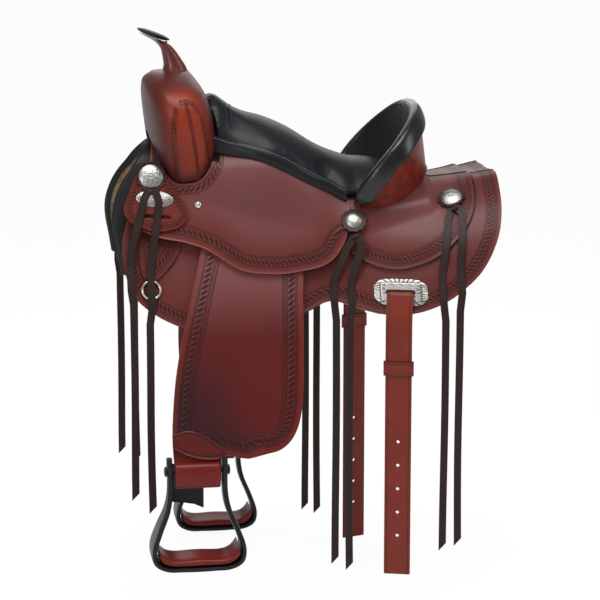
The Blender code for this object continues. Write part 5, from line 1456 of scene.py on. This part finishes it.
def make_patch(side, name, body, top):
    """The leaf-shaped patch at the fender's foot, left bare here."""
    upper = [(-0.2495, 0.358), (-0.2230, 0.352), (-0.1960, 0.362), (-0.1760, 0.377), (-0.1600, 0.393)]
    lower = [(-0.2495, 0.380), (-0.2300, 0.391), (-0.2020, 0.399), (-0.1780, 0.3995), (-0.1600, 0.395)]
    patch = plane_panel("fender_patch_" + name, side, upper, lower, top + 0.0002, 0.0022, 60, 24, patch_leather)
    mark(patch, "edge", [plane_line(side, upper, top + 0.0028, 40), plane_line(side, lower, top + 0.0028, 40)])
    wear(patch, body, "fender_" + name)


def make_hobble(side, name, body, centre):
    """Black flap behind the wrap, with a slanted lower edge."""
    inner_y = centre.y - side * 0.0153
    left, right = -0.0395, 0.012

    def place(u, v, top):
        low = level([(0.0, -0.056), (0.3, -0.057), (0.7, -0.061), (1.0, -0.068)], u)
        x = centre.x + left + (right - left) * u
        z = centre.z + 0.008 + (low - 0.008) * v
        return Vector((x, inner_y - (side * 0.003 if top else 0.0) + side * 0.001 * math.sin(v * 3) * u, z))
    flap = sheet("hobble_flap_" + name, place, 30, 30, black_edge, 0.0008)
    wear(flap, body, "hobble_" + name)


for side in (-1, 1):
    make_fender(side)
print("fenders made")

# %% [markdown]
# ## Stirrups
# The stirrup is a bell-shaped frame covered in black leather, narrow at the neck and deep at the tread, and the
# tread itself is a padded red leather cushion whose ends turn up against the frame.

# %% Stirrups
STIRRUP_LINE = [(0.0455, 0.022), (0.0450, -0.032), (0.0500, -0.063), (0.0640, -0.098), (0.0735, -0.128),
                (0.0700, -0.148), (0.0520, -0.1580), (0.0260, -0.1595), (0.0, -0.1600)]
WALL = 0.009


def make_stirrup(side):
    name, centre = side_name(side), bolt_centre(side)
    body = "stirrup_" + name
    half = [Vector((x, 0, z)) for x, z in STIRRUP_LINE]
    line = [Vector((-p.x, 0, p.z)) for p in half] + half[-2::-1]
    rings, edges = [], [[], []]
    count = 130
    for k in range(count):
        u = k / (count - 1)
        point = along(line, u)
        tangent = (along(line, min(u + 0.01, 1)) - along(line, max(u - 0.01, 0))).normalized()
        across = Vector((tangent.z, 0, -tangent.x)).normalized()
        depth = 0.026 + 0.040 * ease((-point.z - 0.02) / 0.10)
        ends = 1 - 0.45 * (1 - ease(min(u, 1 - u) / 0.02))
        ring = []
        for c in range(20):
            turn = 2 * math.pi * c / 20
            a = math.copysign(abs(math.cos(turn)) ** 0.55, math.cos(turn))
            b = math.copysign(abs(math.sin(turn)) ** 0.40, math.sin(turn))
            ring.append(centre + point + across * (a * WALL / 2) + Vector((0, b * depth / 2 * ends, 0)))
        rings.append(ring)
        for j, b in enumerate((-1, 1)):
            edges[j].append(centre + point - across * WALL / 2 + Vector((0, b * depth / 2 * ends, 0)))
    frame_piece = loft("stirrup_frame_" + name, rings, black_wrap, 60)
    mark(frame_piece, "edge", edges)
    wear(frame_piece, body, body)
    length = 2 * (0.0455 + WALL / 2)
    along_x = Matrix.Translation(centre) @ Matrix.Rotation(math.pi / 2, 4, "Y")
    profile = [(0.0, -length / 2 - 0.0040), (0.0050, -length / 2 - 0.0040), (0.0080, -length / 2 - 0.0030),
               (0.0085, -length / 2 - 0.0006), (0.005, -length / 2 - 0.0006), (0.005, length / 2 + 0.0006),
               (0.0085, length / 2 + 0.0006), (0.0080, length / 2 + 0.0030), (0.0050, length / 2 + 0.0040),
               (0.0, length / 2 + 0.0040)]
    wear(turned("stirrup_pin_" + name, profile, 32, along_x, dark_steel, 50), body, "stirrup_bolt_" + name)
    make_tread(name, centre, body)


def make_tread(name, centre, body):
    floor_z = STIRRUP_LINE[-1][1] + WALL / 2 + 0.0003
    rings = []
    for k in range(61):
        share = 2 * k / 60 - 1
        x = share * 0.0655
        low = floor_z + 0.0009 * share**2 + 0.0125 * share**8
        top = floor_z + 0.0135 + 0.010 * share**4 + 0.010 * share**10 + 0.0012 * math.cos(share * 4.5)
        half = 0.032
        section = []
        for c in range(28):
            turn = 2 * math.pi * c / 28
            b = math.copysign(abs(math.cos(turn)) ** 0.5, math.cos(turn))
            a = math.copysign(abs(math.sin(turn)) ** 0.7, math.sin(turn))
            section.append((half * b + 0.0015 * b * (1 - abs(a)), (low + top) / 2 + (top - low) / 2 * a))
        rings.append([centre + Vector((x, y, z)) for y, z in section])
    tread = loft("tread_leather_" + name, rings, wrap_leather, 60)
    mark(tread, "edge", [[centre + Vector((-0.061, y, floor_z + 0.018)), centre + Vector((0.061, y, floor_z + 0.018))]
                         for y in (-0.032, 0.032)])
    wear(tread, body, "tread_" + name)


for side in (-1, 1):
    make_stirrup(side)
print("stirrups made")

# %% [markdown]
# ## Rear cinch plates, billets and keepers
# The engraved plate holds the billet of the back cinch, a heavy strap with stitched edges and five holes,
# and a small loop slides on it.

# %% Cinch hardware
CINCH = (0.142, 0.246)
CINCH_BASE = ON_SKIRT - 0.001 + 0.0006
BILLET_WIDTH, BILLET_THICKNESS = 0.0445, 0.0045


def level_frame(side):
    matrix, origin = flank_frame(CINCH[0], side * CINCH[1], CINCH_BASE)
    normal = matrix.col[2].xyz
    rear = Vector((0, 0, 1)).cross(normal).normalized()
    if rear.x < 0:
        rear = -rear
    return Matrix((rear, normal.cross(rear), normal)).transposed().to_4x4(), origin


def billet_frame(side):
    matrix, origin = level_frame(side)
    rear, normal = matrix.col[0].xyz, matrix.col[2].xyz
    out = (Vector((0, 0, 1)).cross(rear) * side).normalized()
    if out.y * side < 0:
        out = -out
    return rear, out, math.atan2(normal.z, normal.dot(out)), origin


def billet_line(side):
    _, _, slope, origin = billet_frame(side)
    out = Vector((math.cos(slope), math.sin(slope)))
    down = Vector((math.sin(slope), -math.cos(slope)))
    over = 0.0028 + BILLET_THICKNESS / 2 + 0.0032
    points = [out * 0.0016, out * 0.00224 + down * 0.0004, out * (over - 0.0012) + down * 0.0035,
              out * over + down * 0.009, out * over + down * 0.034]
    for share in (0.33, 0.67, 1.0):
        step = down.lerp(Vector((0, -1)), share).normalized()
        points.append(points[-1] + step * 0.012)
    end = -0.640 if side < 0 else -0.700
    points.append(Vector((points[-1].x, end - origin.z)))
    return points


def make_cinch_plate(side):
    name = side_name(side)
    frame_here, origin = level_frame(side)
    drift = (flank(CINCH[0] + 0.01, side * CINCH[1], 0).z - flank(CINCH[0], side * CINCH[1], 0).z) / 0.01
    drift /= math.sin(FLANK_ANGLE)
    grooves = {}

    def place(u, v, top):
        across, up = 2 * u - 1, 2 * v - 1
        narrowing = 1 - 0.55 * abs(across) ** 5
        x = CINCH[0] + across * 0.043
        s = CINCH[1] + up * 0.023 * narrowing + drift * (x - CINCH[0])
        ring = max(abs(across) ** 1.2, abs(up))
        cut = max(0.0, 1 - abs(ring - 0.72) / 0.05)
        if ring > 0.76:
            cut = max(cut, 0.8 * (math.sin(math.atan2(up, across) * 34) > 0.3))
        elif ring > 0.30:
            cut = max(cut, 0.55 * (math.sin(across * 20 + math.sin(up * 7) * 2) * math.sin(up * 11 + 1) > 0.35))
        rise = 0.0014 + 0.0014 * (1 - ring**4) - 0.0004 * cut
        point = flank(x, side * s, CINCH_BASE + (rise + 0.0004 if top else 0.0))
        if top:
            grooves[tuple(round(c, 5) for c in point)] = cut
        return point
    plate = sheet("cinch_silver_" + name, place, 120, 60, silver, 0.0)
    cut_away(plate, slot_tool(frame_here, origin, 0.050, 0.009, 0.012))
    values = [grooves.get(tuple(round(c, 5) for c in vertex.co), 0.0) for vertex in plate.data.vertices]
    plate.data.attributes.new("groove", "FLOAT", "POINT").data.foreach_set("value", values)
    wear(plate, "root", "cinch_plate_" + name)


def make_billet(side):
    name = side_name(side)
    rear, out, _, origin = billet_frame(side)
    place = Matrix.Translation(origin) @ Matrix((rear, out, Vector((0, 0, 1)))).transposed().to_4x4()
    line = billet_line(side)
    smooth = [line[0], line[1]] + [along(line[1:8], k / 40) for k in range(1, 41)]
    tail = line[-1]
    smooth += [line[7].lerp(tail, k / 30) for k in range(1, 31)]
    rings, sides = [], [[], []]
    for k, point in enumerate(smooth):
        tangent = (smooth[min(k + 1, len(smooth) - 1)] - smooth[max(k - 1, 0)]).normalized()
        thick = 0.0026 if k < 2 else BILLET_THICKNESS
        normal = Vector((tangent.y, -tangent.x)) * thick / 2
        half = BILLET_WIDTH / 2
        rings.append([place @ Vector((half * a, point.x + b * normal.x, point.y + b * normal.y))
                      for a, b in [(-1, -0.5)] + [(j / 6 - 1, -1) for j in range(0, 13)][1:-1] + [(1, -0.5), (1, 0.5)]
                      + [(1 - j / 6, 1) for j in range(0, 13)][1:-1] + [(-1, 0.5)]])
        for j, a in enumerate((-1, 1)):
            sides[j].append(place @ Vector((a * half, point.x - normal.x, point.y - normal.y)))
    billet = loft("billet_strap_" + name, rings, billet_leather, 50)
    for k in range(5):
        hole = Matrix.Translation((0, tail.x, tail.y + 0.068 + k * 0.041))
        bm = bmesh.new()
        bmesh.ops.create_cone(bm, cap_ends=True, segments=24, radius1=0.003, radius2=0.003, depth=0.02,
                              matrix=place @ hole @ Matrix.Rotation(math.pi / 2, 4, "X"))
        cut_away(billet, finish("hole_tool", bm, steel))
    mark(billet, "edge", sides)
    wear(billet, "billet_" + name, "billet_" + name)
    middle = place @ Matrix.Translation((0, tail.x, line[-2].y - 0.060))
    outer, inner = [], []
    for c in range(48):
        turn = 2 * math.pi * c / 48
        a = math.copysign(abs(math.cos(turn)) ** 0.30, math.cos(turn))
        b = math.copysign(abs(math.sin(turn)) ** 0.55, math.sin(turn))
        outer.append(Vector((a * (BILLET_WIDTH / 2 + 0.0032), b * (BILLET_THICKNESS / 2 + 0.0032), 0)))
        inner.append(Vector((a * (BILLET_WIDTH / 2 + 0.0008), b * (BILLET_THICKNESS / 2 + 0.0012), 0)))
    keeper = loft("keeper_loop_" + name, [[middle @ (p + Vector((0, 0, z))) for p in outer]
                                         for z in (-0.012, -0.0105, 0.0, 0.0105, 0.012)], billet_leather, 50)
    tool = loft("keeper_tool", [[middle @ (p + Vector((0, 0, z))) for p in inner] for z in (-0.02, 0.02)], steel)
    cut_away(keeper, tool)
    mark(keeper, "edge", [[middle @ (p + Vector((0, 0, z))) for p in outer + outer[:1]] for z in (-0.012, 0.012)])
    wear(keeper, "billet_keeper_" + name, "billet_keeper_" + name)


for side in (-1, 1):
    make_cinch_plate(side)
    make_billet(side)
    matrix, origin = flank_frame(-0.273, side * 0.2795, ON_SKIRT + 0.0022)
    wear(ring_piece("rigging_ring_silver_" + side_name(side), 0.0150, 0.0022, Matrix.Translation(origin) @ matrix,
                    bright_ring), "rigging_ring_" + side_name(side), "rigging_ring_" + side_name(side))
    matrix, origin = flank_frame(-0.190, side * 0.124, jockey_base(-0.190, 0.124) + 0.0049)
    profile = [(0.0, 0.0), (0.0055, 0.0), (0.0055, 0.0010), (0.0046, 0.0017), (0.0038, 0.0014), (0.0034, 0.0007),
               (0.0029, 0.0007), (0.0026, 0.0022), (0.0018, 0.0027), (0.0, 0.0028)]
    screw = turned("fork_screw_head_" + side_name(side), profile, 40, Matrix.Translation(origin) @ matrix,
                   bright_ring, 50)
    wear(screw, "root", "fork_screw_" + side_name(side))
print("cinch hardware made")

# %% [markdown]
# ## Fleece
# Under the skirts lies woolly fleece. It is one thick sheet whose underside is raised in small uneven tufts,
# and it shows beside the leather along the edges. A black binding runs round its front arch.

# %% Fleece and binding
def inset(points, margin):
    middle = sum((Vector(p) for p in points), Vector((0, 0))) / len(points)
    return [tuple(Vector(p) + (middle - Vector(p)).normalized() * margin) for p in points]


ARCH_EDGE = [(-0.262, 0.004), (-0.268, 0.030), (-0.288, 0.062), (-0.308, 0.090), (-0.321, 0.118), (-0.328, 0.150),
             (-0.327, 0.180), (-0.321, 0.215), (-0.3155, 0.250)]
SKIRT_FRONT = [(s, x) for x, s in SKIRT_EDGE[:8]]
PAD_EDGE = ARCH_EDGE[:-1] + [point for point in SKIRT_EDGE if point[1] > 0.222 or point[0] > -0.25]


def make_fleece():
    edge = inset(PAD_EDGE, 0.004)
    columns = 230
    rims = [along(edge, k / columns) for k in range(columns + 1)]

    def place(u, v, top):
        rim_x, rim_s = rims[round(u * columns)]
        share = 2 * v - 1
        spread = abs(share) ** 1.5
        x = (-0.254 + 0.582 * u) * (1 - spread) + rim_x * spread
        s = math.copysign(spread, share) * rim_s
        point = flank(x, s, 0.0085 if top else 0.0016)
        if not top:
            tuft = noise.noise(Vector((x, s, 0.3)) * 120) * 0.0030 + noise.noise(Vector((x, s, 0.9)) * 330) * 0.0018
            matrix, _ = flank_frame(x, s, 0.0)
            point -= matrix.col[2].xyz * tuft
        return point
    wool_sheet = sheet("fleece_wool", place, columns, 190, wool, 0.0)
    wear(wool_sheet, "root", "fleece_lining")


make_fleece()


def make_binding(side):
    """Black leather that wraps the pad's edge in the front arch and runs back under the skirt."""
    rings = []
    for k in range(71):
        x, s = along(ARCH_EDGE, k / 70)
        rear = max(interpolate(SKIRT_FRONT, s) + 0.003, x + 0.008)
        section = [(x + 0.0050, -0.0012), (x + 0.0010, -0.0016), (x - 0.0022, 0.0), (x - 0.0040, 0.0030),
                   (x - 0.0044, 0.0060), (x - 0.0036, 0.0092), (x - 0.0014, 0.0110), (x + 0.0020, 0.0114),
                   (rear, 0.0114), (rear, 0.0094), (x + 0.0050, 0.0090), (x + 0.0036, 0.0050), (x + 0.0044, 0.0)]
        rings.append([flank(px, side * s, t) for px, t in section])
    wear(loft("arch_binding_" + side_name(side), rings, black_edge, 60), "root", "skirt_" + side_name(side))


for side in (-1, 1):
    make_binding(side)
print("fleece made")

# %% [markdown]
# ## What stays from the solid model
# The felt pad, the strap under it and the fork's hard core are right as they are, and mostly hidden, so they only
# get their materials.

# %% Materials of the nodes that stay
for node, skin in (("base_pad", felt), ("hanger_strap", under_leather), ("fork_insert", resin)):
    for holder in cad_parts[node].material_slots:
        holder.material = skin

# %% Sizes, and the end
print("cad", [[round(c, 4) for c in corner] for corner in cad_bounds])
